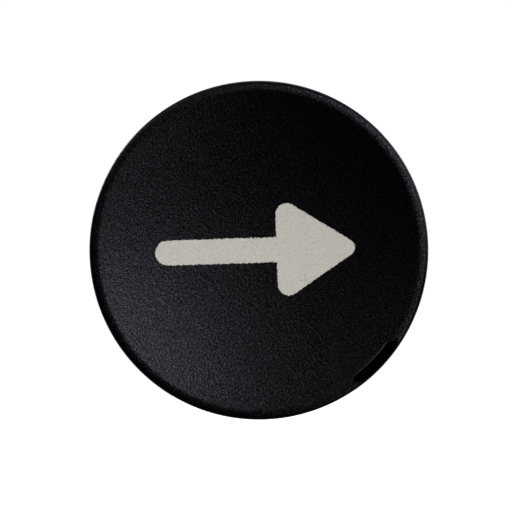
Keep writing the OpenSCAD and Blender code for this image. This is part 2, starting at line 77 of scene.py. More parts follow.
CAP_R = span("button_cap", 0)[1]
CREST_Y, SKIRT_END_Y = span("button_cap", 1)
RIM_R = 0.75
DISH_R = 23.80
DISH_SLOPE = math.radians(7.8)                       # of the dish at its edge
DISH_BALL_R = DISH_R / math.sin(DISH_SLOPE)
CREST_ARCS = ((0, 3.0, 4), (4.5, 8.0, 6), (90, 0.61, 14))    # end slope, radius, steps
DISH_DEPTH = (DISH_BALL_R + CREST_ARCS[0][1]) * (1 - math.cos(DISH_SLOPE))
FACE_BACK_Y = CREST_Y + 5.2
BOSS_END_Y = span("cap_insert", 1)[1] + 0.03
BOSS_R = 8
GROOVE_Y = (-18.4, -17.0)                            # in the boss, for the boot's lip
BOOT_END_Y = sum(GROOVE_Y) / 2
FLANGE_R = span("operator_body", 0)[1]
COLLAR_Y, BARREL_END_Y = span("operator_body", 1)
FLANGE_FRONT_Y = span("boot_clamp_ring", 1)[1]
FLANGE_BACK_Y = span("panel_gasket", 1)[0]
FRONT_R = span("plunger", 0)[1]
CLIP_Y = span("bump_washer", 1)[1]
PIVOT_Y = centre("lever_pivot_pin", 1)
PIVOT_Z = centre("lever_pivot_pin", 2)
CASE_LEFT, SPLIT_X = span("switch_base", 0)
CASE_RIGHT = span("switch_cover", 0)[1]
CASE_FRONT_Y = PIVOT_Y + 1
CASE_BACK_Y = span("switch_base", 1)[1]
CASE_LOW_Z, CASE_HIGH_Z = span("switch_base", 2)
PLATE_X = span("switch_bracket", 0)[1]
SCREW_Y = centre("switch_screws", 1)
SCREW_Z = [span("switch_nuts", 2)[0] + 2, span("switch_nuts", 2)[1] - 2]
PIN_Z = centre("switch_pin", 2)
CASE_Z = (CASE_LOW_Z + CASE_HIGH_Z) / 2
CAVITY_Y = (CASE_FRONT_Y + 1.2, CASE_FRONT_Y + 5.6)
TAB_Z = (CASE_Z + 8, CASE_Z - 0.7, CASE_Z - 8.1)
MOUNT_CIRCLE = (3, 90, 19)                           # how many holes, first angle, radius
CLAMP_CIRCLE = (3, 150, 20)
FOOT_PLACES = [(-6.8, z) for z in (-9.9, 9.9)]
CASE_PLACES = [(SCREW_Y, z) for z in SCREW_Z]
EARTH_PLACE = (9.2, -6.2)
SHEET = 1.2                                          # thickness of the bracket
RING_THICK = 1.2                                     # of the clamp ring
TAB_HALF = 1.4                                       # half the width of a terminal
TAB_EDGE = 0.25                                      # half its thickness
CRISP = 35                                           # degrees: edges sharper than this look crisp


# ---------- meshes ----------

def in_scene(name, data):
    """A new object in the scene from its mesh, light or camera."""
    made = bpy.data.objects.new(name, data)
    bpy.context.scene.collection.objects.link(made)
    return made


def smooth(piece, angle):
    """Smooth shading, with edges sharper than the angle left crisp."""
    piece.data.shade_smooth()
    piece.data.set_sharp_from_angle(angle=math.radians(angle))
    return piece


def mesh_piece(name, bm, angle=CRISP):
    """A piece from a finished bmesh."""
    mesh = bpy.data.meshes.new(name)
    bm.to_mesh(mesh)
    bm.free()
    return smooth(in_scene(name, mesh), angle)


def clean_piece(name, bm, angle):
    """A piece from a new bmesh: doubled points are merged and all faces turned outwards."""
    bmesh.ops.remove_doubles(bm, verts=bm.verts, dist=1e-5)
    bmesh.ops.recalc_face_normals(bm, faces=bm.faces)
    return mesh_piece(name, bm, angle)


def skinned(name, rings, angle=CRISP):
    """A solid through rings of points, with a flat face at each end."""
    bm = bmesh.new()
    loops = [[bm.verts.new(point) for point in ring] for ring in rings]
    bm.faces.new(loops[0])
    bm.faces.new(loops[-1][::-1])
    for first, second in zip(loops, loops[1:]):
        for i in range(len(first)):
            k = (i + 1) % len(first)
            bm.faces.new((first[i], second[i], second[k], first[k]))
    return clean_piece(name, bm, angle)


def spaced(first, last, steps):
    """Evenly spaced values from first to last."""
    return [first + (last - first) * i / steps for i in range(steps + 1)]


def arc(cx, cy, r, a0, a1, steps):
    """Points of a part circle, from angle a0 to a1 in degrees."""
    turn = [math.radians(a) for a in spaced(a0, a1, steps)]
    return [(cx + r * math.cos(a), cy + r * math.sin(a)) for a in turn]


def circle(cx, cy, r, count, first=0):
    """Equally spaced points round a circle, the first at an angle in degrees."""
    return arc(cx, cy, r, first, first + 360 * (count - 1) / count, count - 1)


def rounded(corners, steps=5):
    """An outline from (x, y) or (x, y, radius) corners, with an arc at each that has a radius."""
    points = []
    count = len(corners)
    for i, corner in enumerate(corners):
        here = Vector(corner[:2])
        r = corner[2] if len(corner) > 2 else 0
        if r == 0:
            points.append(tuple(here))
            continue
        back = (Vector(corners[i - 1][:2]) - here).normalized()
        ahead = (Vector(corners[(i + 1) % count][:2]) - here).normalized()
        half = back.angle(ahead) / 2
        middle = here + (back + ahead).normalized() * (r / math.sin(half))
        start = here + back * (r / math.tan(half)) - middle
        end = here + ahead * (r / math.tan(half)) - middle
        sweep = start.angle_signed(end)
        for k in range(steps + 1):
            a = -sweep * k / steps
            turned = Vector((start.x * math.cos(a) - start.y * math.sin(a),
                             start.x * math.sin(a) + start.y * math.cos(a)))
            points.append(tuple(middle + turned))
    return points


def oblong(u0, v0, u1, v1, r=0.0):
    """A rectangle with round corners."""
    return rounded([(u0, v0, r), (u1, v0, r), (u1, v1, r), (u0, v1, r)])


def lathe(name, profile, segments, angle=CRISP, shape=None):
    """A solid of revolution about the press axis, from a closed outline of (radius, y) points.
    shape(radius, y, turn) may change the radius, for a knurl or a thread."""
    bm = bmesh.new()
    rings = []
    for r, y in profile:
        if abs(r) < 1e-6:
            rings.append([bm.verts.new((0, y, 0))])
            continue
        ring = []
        for k in range(segments):
            a = 2 * math.pi * k / segments
            here = shape(r, y, a) if shape else r
            ring.append(bm.verts.new((here * math.cos(a), y, here * math.sin(a))))
        rings.append(ring)
    for i, ring in enumerate(rings):
        ahead = rings[(i + 1) % len(rings)]
        for k in range(segments):
            loop = [ring[k % len(ring)], ring[(k + 1) % len(ring)],
                    ahead[(k + 1) % len(ahead)], ahead[k % len(ahead)]]
            corners = list(dict.fromkeys(loop))
            if len(corners) > 2:
                bm.faces.new(corners)
    return clean_piece(name, bm, angle)


def flat_ring(name, inner, outer, y0, y1, edges, segments=128, steps=5):
    """A flat ring, or a round bar if inner is 0. Its edges have four radii: inner front, outer
    front, outer back and inner back."""
    corners = ((inner, y0), (outer, y0), (outer, y1), (inner, y1))
    outline = rounded([(*corner, r) for corner, r in zip(corners, edges)], steps)
    return lathe(name, outline, segments)


def sector(profile, a0, a1):
    """Part of a solid of revolution about the press axis, between two angles in degrees."""
    turn = [math.radians(a) for a in spaced(a0, a1, 24)]
    return skinned("sector", [[(r * math.cos(a), y, r * math.sin(a)) for r, y in profile]
                              for a in turn])


def thread(depth, pitch, y0, y1):
    """A shape for lathe() that cuts a V thread between y0 and y1, faded out at both ends."""
    def cut_in(r, y, a):
        fade = max(0.0, min(1.0, (y - y0) / pitch, (y1 - y) / pitch))
        phase = (y / pitch - a / (2 * math.pi)) % 1
        return r - depth * fade * abs(2 * phase - 1)
    return cut_in


def steps_between(r, y0, y1, step):
    """Points along a straight side, close enough together to carry a thread or a knurl."""
    return [(r, y) for y in spaced(y0, y1, max(2, round((y1 - y0) / step)))]


def prism(name, outline, low, high, axis="y", angle=CRISP):
    """An outline extruded from low to high along an axis. Its points are (x, z) for an
    extrusion along y, (y, z) along x and (x, y) along z."""
    def at(u, v, w):
        return {"y": (u, w, v), "x": (w, u, v), "z": (u, v, w)}[axis]
    return skinned(name, [[at(u, v, w) for u, v in outline] for w in (low, high)], angle)


def block(low, high):
    """A plain box, for cutting with."""
    return prism("block", oblong(low[0], low[2], high[0], high[2]), low[1], high[1])


def rod(r, low, high, u=0.0, v=0.0, axis="y", steps=40):
    """A plain round bar along an axis, for cutting with."""
    return prism("rod", circle(u, v, r, steps), low, high, axis)


def rods(r, low, high, places, axis="y"):
    """Plain round bars at several places."""
    return [rod(r, low, high, u, v, axis) for u, v in places]


def moved(piece, x=0.0, y=0.0, z=0.0, turn=0.0, about="Y"):
    """Turns the mesh by an angle in degrees, then moves it."""
    spin = Matrix.Rotation(math.radians(turn), 4, about)
    piece.data.transform(Matrix.Translation((x, y, z)) @ spin)
    return piece


def joined(name, pieces):
    """One piece from several that don't overlap."""
    bm = bmesh.new()
    for piece in pieces:
        bm.from_mesh(piece.data)
        bpy.data.objects.remove(piece)
    return mesh_piece(name, bm)


def cut(piece, *tools, mode="DIFFERENCE", angle=CRISP):
    """Takes the tools away from the piece, or joins them to it, or keeps what they share.
    The tools may touch the piece, but not each other."""
    tool = joined("tool", tools)
    step = piece.modifiers.new("cut", "BOOLEAN")
    step.operation = mode
    step.solver = "EXACT"
    step.object = tool
    bpy.context.view_layer.update()
    shape = piece.evaluated_get(bpy.context.evaluated_depsgraph_get())
    mesh = bpy.data.meshes.new_from_object(shape)
    piece.modifiers.clear()
    piece.data = mesh
    bpy.data.objects.remove(tool)
    return smooth(piece, angle)


def merge(piece, *tools, angle=CRISP):
    """Joins the tools to the piece, where they may overlap it."""
    return cut(piece, *tools, mode="UNION", angle=angle)


def soften(piece, width, steps=2, angle=40):
    """Rounds the piece's sharp edges by width, in millimetres."""
    bm = bmesh.new()
    bm.from_mesh(piece.data)
    bmesh.ops.remove_doubles(bm, verts=bm.verts, dist=1e-4)
    flat = [e for e in bm.edges if len(e.link_faces) == 2
            and e.calc_face_angle(0) < math.radians(1)]
    bmesh.ops.dissolve_edges(bm, edges=flat, use_verts=True)
    sharp = [e for e in bm.edges if len(e.link_faces) == 2
             and e.calc_face_angle(0) > math.radians(angle)]
    bmesh.ops.bevel(bm, geom=sharp, offset=width, offset_type="OFFSET", segments=steps,
                    profile=0.5, affect="EDGES", clamp_overlap=True)
    bm.to_mesh(piece.data)
    bm.free()
    return smooth(piece, angle)


def around(count, first, r):
    """(x, z) of equally spaced places on a circle about the press axis."""
    return circle(0, 0, r, count, first)


def fit(piece, node, finish, body="housing"):
    """Turns a piece into metres, gives it its material and fixes it to its body, where it stands
    for a CAD node. Each material slot has the name of the function that makes its finish."""
    piece.data.transform(Matrix.Scale(MM, 4))
    dress(piece, finish(), finish.__name__)
    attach(piece, body)
    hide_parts(node)


# ---------- materials ----------

class Finish:
    """A material's node tree, with short ways to add what this object's finishes need."""

    def __init__(self, colour, roughness, metallic=0.0, specular=0.5):
        self.material = bpy.data.materials.new("finish")
        self.material.use_nodes = True
        self.nodes = self.material.node_tree.nodes
        self.links = self.material.node_tree.links
        self.shader = self.nodes["Principled BSDF"]
        self.shader.inputs["Base Color"].default_value = (*colour, 1)
        self.shader.inputs["Roughness"].default_value = roughness
        self.shader.inputs["Metallic"].default_value = metallic
        self.shader.inputs["Specular IOR Level"].default_value = specular
        self.place = self.nodes.new("ShaderNodeTexCoord").outputs["Object"]

    def add(self, kind, inputs=(), **settings):
        """A node with its settings, whose inputs are values or another node's outputs."""
        made = self.nodes.new(kind)
        for key, value in settings.items():
            setattr(made, key, value)
        for key, value in dict(inputs).items():
            if isinstance(value, bpy.types.NodeSocket):
                self.links.new(value, made.inputs[key])
            else:
                made.inputs[key].default_value = value
        return made

    def noise(self, size, detail=2.0, stretch=(1, 1, 1), place=None):
        """Noise whose blobs are about size millimetres across, stretched along the axes."""
        mapped = self.add("ShaderNodeMapping", {"Vector": place or self.place, "Scale": stretch})
        return self.add("ShaderNodeTexNoise", {"Vector": mapped.outputs[0],
                        "Scale": 1 / (size * MM), "Detail": detail}).outputs["Fac"]

    def cells(self, size):
        """Distance to the nearest of scattered points about size millimetres apart."""
        return self.add("ShaderNodeTexVoronoi", {"Vector": self.place,
                        "Scale": 1 / (size * MM)}).outputs["Distance"]

    def turned(self):
        """A place that is the same all round the press axis, for the marks of a lathe."""
        flat = self.add("ShaderNodeVectorMath", {0: self.place, 1: (1, 0, 1)}, operation="MULTIPLY")
        radius = self.add("ShaderNodeVectorMath", {0: flat.outputs[0]}, operation="LENGTH")
        along = self.add("ShaderNodeSeparateXYZ", {"Vector": self.place}).outputs["Y"]
        return self.add("ShaderNodeCombineXYZ", {"X": radius.outputs["Value"],
                        "Y": along}).outputs[0]

    def paint(self, fac, low, high, *colours):
        """Colours the material from the first colour, at fac low, to the second, at fac high."""
        made = self.add("ShaderNodeValToRGB", {"Fac": fac})
        for element, place, colour in zip(made.color_ramp.elements, (low, high), colours):
            element.position = place
            element.color = (*colour, 1)
        self.links.new(made.outputs["Color"], self.shader.inputs["Base Color"])

    def vary(self, fac, low, high, to_low, to_high):
        """A value that goes from to_low to to_high as fac goes from low to high."""
        return self.add("ShaderNodeMapRange", {"Value": fac, "From Min": low, "From Max": high,
                        "To Min": to_low, "To Max": to_high}).outputs[0]

    def spread(self, socket, fac, low, high, to_low, to_high):
        """Varies one of the shader's numbers from to_low, at fac low, to to_high, at fac high."""
        self.links.new(self.vary(fac, low, high, to_low, to_high), self.shader.inputs[socket])

    def bump(self, height, distance, below=None):
        """Relief of distance millimetres, on top of the relief below it."""
        inputs = {"Height": height, "Distance": distance * MM, "Strength": 1.0}
        if below is not None:
            inputs["Normal"] = below
        made = self.add("ShaderNodeBump", inputs).outputs[0]
        self.links.new(made, self.shader.inputs["Normal"])
        return made


def dress(piece, finish, name):
    """Gives a piece its one material."""
    finish.material.name = name
    piece.data.materials.clear()
    piece.data.materials.append(finish.material)


def metal(colour, roughness, stain, patch, lathe_marks=0.0, grain=0.0, stretch=(1, 1, 1)):
    """Bare or plated metal: stains in patches, with lathe marks or a fine grain."""
    f = Finish(colour, roughness, metallic=1.0)
    patches = f.noise(patch, 5.0)
    f.paint(patches, 0.38, 0.72, colour, stain)
    f.spread("Roughness", f.noise(patch * 0.4, 4.0), 0.3, 0.75, roughness * 0.75, roughness * 1.35)
    relief = None
    if grain:
        relief = f.bump(f.noise(0.18, 3.0, stretch), grain)
    if lathe_marks:
        f.bump(f.noise(0.16, place=f.turned()), lathe_marks, relief)
    return f


def moulded(colour, roughness, dust, grain_size, grain, specular=0.4):
    """Moulded plastic or rubber: a fine spark-eroded grain, and a little dust in patches."""
    f = Finish(colour, roughness, specular=specular)
    f.paint(f.noise(5.0, 6.0), 0.45, 0.8, colour, dust)
    f.spread("Roughness", f.noise(1.6, 4.0), 0.3, 0.7, roughness * 0.85, roughness * 1.2)
    f.bump(f.noise(grain_size), grain)
    return f


def cap_plastic():
    """Black moulding filled with fine flake: each fleck mirrors a little of the light."""
    f = Finish((0.0003, 0.0003, 0.0004), 0.28, specular=0.05)
    flecks = f.noise(0.18, 1.0)
    f.spread("Metallic", flecks, 0.32, 0.38, 0.0, 1.0)
    f.paint(flecks, 0.34, 0.80, (0.0003, 0.0003, 0.0004), (0.0215, 0.0207, 0.0252))
    f.bump(f.noise(0.26, 0.0), 0.020)
    return f


def arrow_fill():
    """Pale filling paint with a fine speckle."""
    f = Finish((0.50, 0.48, 0.43), 0.6, specular=0.2)
    speckle = f.noise(0.26)
    f.paint(speckle, 0.30, 0.55, (0.462, 0.441, 0.397), (0.576, 0.552, 0.497))
    f.bump(speckle, 0.008)
    return f


def insert_brass():
    return metal((0.80, 0.58, 0.22), 0.28, (0.55, 0.36, 0.13), 2.0, lathe_marks=0.004)


def bearing_bronze():
    """Sintered bronze: dark pores, with oil in them."""
    f = metal((0.60, 0.42, 0.20), 0.42, (0.36, 0.23, 0.10), 2.5)
    pores = f.vary(f.cells(0.22), 0.0, 0.35, 0.0, 1.0)
    f.paint(pores, 0.25, 0.8, (0.10, 0.06, 0.03), (0.62, 0.44, 0.21))
    f.bump(pores, 0.02)
    return f


def stainless():
    return metal((0.62, 0.62, 0.61), 0.24, (0.50, 0.50, 0.50), 3.0, lathe_marks=0.004)


def plated_steel():
    """Zinc plate: cool and bright, going dull in patches."""
    return metal((0.66, 0.68, 0.70), 0.36, (0.55, 0.56, 0.56), 1.6, grain=0.006)


def black_steel():
    return metal((0.045, 0.045, 0.05), 0.38, (0.09, 0.08, 0.075), 1.4, grain=0.006)


def cast_alloy():
    """Die-cast zinc alloy: faint flow marks and a fine skin."""
    f = Finish((0.38, 0.39, 0.40), 0.46, metallic=1.0)
    f.paint(f.noise(2.5, 6.0, (1, 0.4, 1)), 0.30, 0.72, (0.35, 0.36, 0.37), (0.41, 0.42, 0.43))
    f.spread("Roughness", f.noise(1.2, 5.0), 0.3, 0.75, 0.42, 0.50)
    f.bump(f.noise(0.18, 3.0), 0.010)
    return f


def spring_steel():
    return metal((0.55, 0.56, 0.58), 0.26, (0.40, 0.40, 0.41), 1.5, grain=0.003)


def boot_rubber():
    return moulded((0.013, 0.013, 0.014), 0.62, (0.032, 0.031, 0.030), 0.3, 0.010, 0.3)


def seal_rubber():
    return moulded((0.010, 0.010, 0.011), 0.50, (0.020, 0.020, 0.020), 0.25, 0.006)


def gasket_rubber():
    """Closed-cell sponge with its cut cells on the surface."""
    f = moulded((0.018, 0.018, 0.019), 0.80, (0.045, 0.044, 0.042), 0.6, 0.01, 0.2)
    f.bump(f.vary(f.cells(0.38), 0.0, 0.5, 0.0, 1.0), 0.06)
    return f


def nylon():
    return moulded((0.035, 0.035, 0.037), 0.45, (0.060, 0.058, 0.055), 0.5, 0.006)


def phenolic():
    """Phenolic moulding: nearly black, with pale flecks of filler."""
    f = moulded((0.022, 0.018, 0.016), 0.36, (0.040, 0.036, 0.032), 0.5, 0.006)
    flecks = f.noise(0.16, 1.0)
    f.paint(flecks, 0.64, 0.74, (0.022, 0.018, 0.016), (0.10, 0.085, 0.07))
    return f


def cover_plastic():
    return moulded((0.040, 0.041, 0.044), 0.42, (0.060, 0.058, 0.055), 0.22, 0.014)


def pin_plastic():
    return moulded((0.45, 0.035, 0.022), 0.35, (0.38, 0.04, 0.03), 0.4, 0.004)


def contact_spring():
    return metal((0.72, 0.42, 0.18), 0.30, (0.52, 0.28, 0.12), 1.2,
                 grain=0.004, stretch=(1, 1, 0.08))


def contact_silver():
    return metal((0.78, 0.77, 0.74), 0.25, (0.48, 0.44, 0.38), 0.5)


def tinned_brass():
    return metal((0.68, 0.65, 0.58), 0.34, (0.52, 0.44, 0.30), 1.5,
                 grain=0.005, stretch=(1, 0.1, 1))


def ground_green():
    """Green chromate over a plated screw, lighter in patches."""
    f = metal((0.07, 0.30, 0.10), 0.34, (0.16, 0.42, 0.16), 0.9, grain=0.004)
    f.shader.inputs["Metallic"].default_value = 0.7
    return f


def insulation_board():
    """Pressed fibre board: short pale fibres both ways."""
    f = moulded((0.62, 0.56, 0.40), 0.75, (0.52, 0.46, 0.32), 0.3, 0.01, 0.25)
    fibres = f.noise(0.35, 3.0, (1, 0.12, 1))
    across = f.noise(0.35, 3.0, (1, 1, 0.12))
    both = f.add("ShaderNodeMath", {0: fibres, 1: across}, operation="MULTIPLY").outputs[0]
    f.paint(both, 0.16, 0.36, (0.46, 0.40, 0.27), (0.68, 0.62, 0.46))
    f.bump(both, 0.03)
    return f


# ---------- the button ----------

def dish_line():
    """(radius, y) points of the dish, from its middle to its edge."""
    return [(DISH_BALL_R * math.sin(a), CREST_Y + DISH_DEPTH - DISH_BALL_R * (1 - math.cos(a)))
            for a in spaced(0, DISH_SLOPE, 32)]


def crest_line():
    """(radius, y) points of the crest from the dish's edge to the cap's side: arcs that follow
    one another, each from the slope where the last one ends."""
    x, y = dish_line()[-1]
    slope = -DISH_SLOPE
    points = []
    for end_slope, r, steps in CREST_ARCS:
        start, end = slope, math.radians(end_slope)
        for a in spaced(start, end, steps)[1:]:
            points.append((x + r * (math.sin(a) - math.sin(start)),
                           y + r * (math.cos(start) - math.cos(a))))
        x, y = points[-1]
        slope = end
    return points


def arrow_outline(inset=0.0):
    """(x, z) outline of the arrow, drawn in by inset all round."""
    tail, tip = span("arrow_inlay", 0)
    half_height = span("arrow_inlay", 2)[1]
    slope, tip_r, corner_r, half_shaft = 33, 1.27, 1.67, 1.87
    tilt = math.radians(slope)
    tip_x = tip - tip_r
    corner_z = half_height - corner_r
    corner_x = tip_x - (corner_z + (corner_r - tip_r) / math.cos(tilt)) / math.tan(tilt)
    r = corner_r - inset
    half = half_shaft - inset
    return (arc(tip_x, 0, tip_r - inset, slope - 90, 90 - slope, 12)
            + arc(corner_x, corner_z, r, 90 - slope, 180, 12)
            + [(corner_x - r, half)]
            + arc(tail + half_shaft, 0, half, 90, 270, 24)
            + [(corner_x - r, -half)]
            + arc(corner_x, -corner_z, r, 180, 270 + slope, 12))


def ragged(outline, step, depth, size):
    """The outline in short steps, with its edge made uneven by noise of that depth and size."""
    points = []
    count = len(outline)
    for i, start in enumerate(outline):
        a, b = Vector(start), Vector(outline[(i + 1) % count])
        across = Vector((b.y - a.y, a.x - b.x)).normalized()
        pieces = max(1, round((b - a).length / step))
        for k in range(pieces):
            here = a.lerp(b, k / pieces)
            rough = noise.noise(Vector((here.x, here.y, 0)) / size)
            fine = noise.noise(Vector((here.x, here.y, 7)) / (size * 0.4))
            points.append(tuple(here + across * depth * (rough + 0.5 * fine)))
    return points


def arrow_bar(name, inset, y0, y1):
    """The arrow as a bar along the press axis, with its finely uneven edge."""
    return prism(name, ragged(arrow_outline(inset), 0.05, 0.18, 0.12), y0, y1, angle=40)


def slot_end(corners, floor_y):
    """One end of the rim slot, from (radius, degrees) corners, with a sloping floor."""
    outline = [(r * math.cos(math.radians(a)), r * math.sin(math.radians(a))) for r, a in corners]
    end = prism("slot_end", outline, CREST_Y - 1, floor_y)
    for vert in end.data.vertices:
        if vert.co.y > CREST_Y:
            vert.co.y -= 1.5 * (CAP_R - Vector((vert.co.x, vert.co.z)).length)
    return end


def rim_slot():
    """What the slot in the rim takes away: blunt at one end, pointed at the other, with a
    broken inner edge and a floor like a V."""
    inner, outer, floor_y = CAP_R - 1.75, CAP_R - 0.3, CREST_Y + 2.4
    first, last = -54.0, -37.8                       # degrees about the press axis
    slot = sector([(inner - 0.2, CREST_Y - 1), (outer, CREST_Y - 1), (outer, floor_y),
                   ((inner + outer) / 2, floor_y + 1.6), (inner, floor_y),
                   (inner, CREST_Y + 0.13), (inner - 0.2, CREST_Y + 0.07)], first, last)
    blunt = slot_end([(inner, first + 0.5), (inner, -54.9), (inner + 0.7, -56.1),
                      (outer - 0.1, -53.9), (outer, first + 0.5)], floor_y)
    point = slot_end([(inner, last - 0.5), (inner, last), (inner + 0.4, -36.9),
                      (inner + 0.95, -33.9), (inner + 1.25, -35.4), (outer, -36.7),
                      (outer, last - 0.5)], floor_y)
    return merge(slot, blunt, point)


def make_cap():
    """The dished cap: a hollow moulding with a boss, ribs, the rim slot and the arrow's pocket."""
    skirt_in = CAP_R - 2.2
    bore = span("cap_insert", 0)[1] + 0.03
    insert_y = span("cap_insert", 1)[0] - 0.03
    groove_r, groove, rib_end_y = 7.0, GROOVE_Y, -18.6
    outline = dish_line() + crest_line() + rounded([
        (CAP_R, CREST_Y + 1), (CAP_R, SKIRT_END_Y, 0.4), (skirt_in, SKIRT_END_Y, 0.4),
        (skirt_in, FACE_BACK_Y, 1.0), (BOSS_R, FACE_BACK_Y, 0.6), (BOSS_R, groove[0], 0.15),
        (groove_r, groove[0], 0.1), (groove_r, groove[1], 0.1), (BOSS_R, groove[1], 0.15),
        (BOSS_R, BOSS_END_Y, 0.3), (bore, BOSS_END_Y), (bore, insert_y), (0, insert_y)])
    cap = lathe("cap", outline, segments=256, angle=30)
    rib_plan = oblong(BOSS_R - 0.3, -0.8, skirt_in + 0.3, 0.8)
    for i in range(6):
        rib = soften(prism("rib", rib_plan, FACE_BACK_Y - 0.4, rib_end_y), 0.2)
        merge(cap, moved(rib, turn=-(30 + 60 * i)), angle=30)
    pocket = arrow_bar("pocket", 0.0, CREST_Y - 1, CREST_Y + DISH_DEPTH + 0.8)
    cut(cap, rim_slot(), pocket, angle=30)
    fit(cap, "button_cap", cap_plastic, "button")


def make_arrow():
    """The arrow's fill, flush with the dish."""
    arrow = arrow_bar("arrow", 0.01, CREST_Y, CREST_Y + DISH_DEPTH + 0.78)
    dish = lathe("dish", dish_line() + [(DISH_R, CREST_Y - 1), (0, CREST_Y - 1)], 192)
    cut(arrow, dish, angle=40)
    fit(arrow, "arrow_inlay", arrow_fill, "button")


def make_insert():
    """A knurled brass insert with a groove round it and a tapped hole."""
    r, y0, y1 = turned_size("cap_insert")

    def knurl(radius, y, a):
        in_groove = y0 + 2.3 < y < y0 + 3.7
        if radius < r - 0.1 or in_groove:
            return radius
        return radius - 0.22 * abs(2 * ((a * 20 / math.pi + 0.6 * (y - y0)) % 1) - 1)

    stud = span("plunger", 1)[0]
    outline = [(0, y0), (r - 0.4, y0)] + steps_between(r, y0 + 0.3, y0 + 2.3, 0.2)
    outline += [(r - 0.5, y0 + 2.5), (r - 0.5, y0 + 3.5)] + steps_between(r, y0 + 3.7, y1 - 0.3, 0.2)
    outline += [(r - 0.4, y1), (3.3, y1), (3.0, y1 - 0.3), (3.0, stud - 0.4), (0, stud - 0.4)]
    insert = lathe("insert", outline, 320, 20, knurl)
    fit(insert, "cap_insert", insert_brass, "button")


def make_nut():
    """The hexagon nut that locks the cap on the plunger."""
    corner_r, y0, y1 = turned_size("lock_nut")
    face_r, edge_r, bevel = corner_r - 0.75, corner_r + 0.05, 0.42
    hole_r, mouth_r, sink = 3.02, 3.3, 0.3
    nut = prism("nut", circle(0, 0, corner_r, 6), y0, y1)
    chamfer = lathe("chamfer", [(0, y0), (face_r, y0), (edge_r, y0 + bevel), (edge_r, y1 - bevel),
                                (face_r, y1), (0, y1)], 96)
    cut(nut, chamfer, mode="INTERSECT")
    hole = lathe("hole", [(0, y0 - 1), (mouth_r, y0 - 1), (mouth_r, y0), (hole_r, y0 + sink),
                          (hole_r, y1 - sink), (mouth_r, y1), (mouth_r, y1 + 1), (0, y1 + 1)], 64)
    cut(nut, hole)
    fit(nut, "lock_nut", plated_steel, "button")


def make_plunger():
    """The turned plunger: a threaded stud, a front journal, a rear journal and a ball nose."""
    stud_y, nose_end = span("plunger", 1)
    shoulder, step_y, rear_r, nose_r = -13.17, 0.8, 3.97, 3.0
    pin_y = centre("anti_turn_pin", 1)
    stud_r, groove_r, groove_end = 2.97, 3.2, CLIP_Y + 0.95
    outline = [(0, stud_y), (stud_r - 0.5, stud_y)]
    outline += steps_between(stud_r, stud_y + 0.5, shoulder - 0.9, 0.12)
    outline += [(stud_r - 0.45, shoulder - 0.7), (stud_r - 0.45, shoulder)]
    outline += rounded([(stud_r - 0.45, shoulder), (FRONT_R, shoulder, 0.4), (FRONT_R, step_y, 0.15),
                        (rear_r, step_y, 0.15), (rear_r, CLIP_Y, 0.08), (groove_r, CLIP_Y, 0.08),
                        (groove_r, groove_end, 0.08), (rear_r, groove_end, 0.1),
                        (rear_r, nose_end - nose_r - 1.0)])
    outline += arc(0, nose_end - nose_r, nose_r, 0, 90, 14)[:-1] + [(0, nose_end)]
    plunger = lathe("plunger", outline, 96, 25, thread(0.38, 1.0, stud_y + 0.3, shoulder - 0.8))
    cut(plunger, rod(1.26, -7, 7, pin_y, 0, "x"))
    fit(plunger, "plunger", stainless, "button")


def make_anti_turn_pin():
    """A dowel with domed ends, pressed through the plunger."""
    half = span("anti_turn_pin", 0)[1]
    r = span("anti_turn_pin", 2)[1]
    pin = flat_ring("dowel", 0, r, -half, half, (0, 0.35, 0.35, 0), 48)
    moved(pin, y=centre("anti_turn_pin", 1), turn=90, about="Z")
    fit(pin, "anti_turn_pin", stainless, "button")


def make_spring_cup():
    """A pressed steel cup between the plunger's step and the return spring."""
    r, y0, y1 = turned_size("spring_cup")
    bore = 3.99
    cup = lathe("cup", rounded([(bore, y0, 0.15), (r, y0, 1.0), (r, y1, 0.25), (r - 0.8, y1, 0.25),
                                (r - 0.8, y0 + 1.0, 0.3), (bore, y0 + 1.0, 0.15)]), 128)
    fit(cup, "spring_cup", plated_steel, "button")


def make_retaining_ring():
    """An E-clip with three gripping prongs and two holes for its pliers."""
    r, y0, y1 = turned_size("retaining_ring")
    bore = 3.23
    clip = lathe("clip", [(bore, y0), (r, y0), (r, y1), (bore, y1)], 128)
    mouth = rounded([(-2.4, 0, 0.6), (2.4, 0, 0.6), (3.2, -9), (-3.2, -9)])
    cut(clip, prism("mouth", mouth, y0 - 1, y1 + 1))
    cut(clip, *rods(1.2, y0 - 1, y1 + 1, [(4.4, -1.6), (-4.4, -1.6)]))
    reliefs = [arc(0, 0, 4.3, a, a + 40, 10) + arc(0, 0, 2.5, a + 40, a, 10) for a in (25, 115)]
    cut(clip, *[prism("relief", outline, y0 - 1, y1 + 1) for outline in reliefs])
    fit(soften(clip, 0.1), "retaining_ring", black_steel, "button")


# ---------- screws ----------

def screw(name, shank_r, length, head_r, head_h, pitch, turn):
    """A pan head screw that points to +Y, with the underside of its head at y = 0."""
    outline = [(0, length), (shank_r * 0.6, length)]
    outline += steps_between(shank_r, length - 0.4, 0.3, pitch / 7)
    outline += rounded([(shank_r, 0), (head_r, 0, 0.15), (head_r, -head_h * 0.55, 0.25),
                        (head_r * 0.72, -head_h * 0.93, 0.6), (0, -head_h)])
    made = lathe(name, outline, 48, 30, thread(shank_r * 0.16, pitch, 0.6, length))
    arm, slot = head_r * 0.58, head_r * 0.13
    cross = [(arm, slot), (slot, slot), (slot, arm), (-slot, arm), (-slot, slot), (-arm, slot),
             (-arm, -slot), (-slot, -slot), (-slot, -arm), (slot, -arm), (slot, -slot), (arm, -slot)]
    recess = prism("recess", cross, -head_h - 1, -head_h * 0.42)
    socket = lathe("socket", [(0, -head_h - 1), (slot * 2.4, -head_h - 1), (slot * 1.5, -head_h * 0.35),
                              (0, -head_h * 0.2)], 24)
    cut(made, recess)
    cut(made, socket)
    return moved(made, turn=turn)


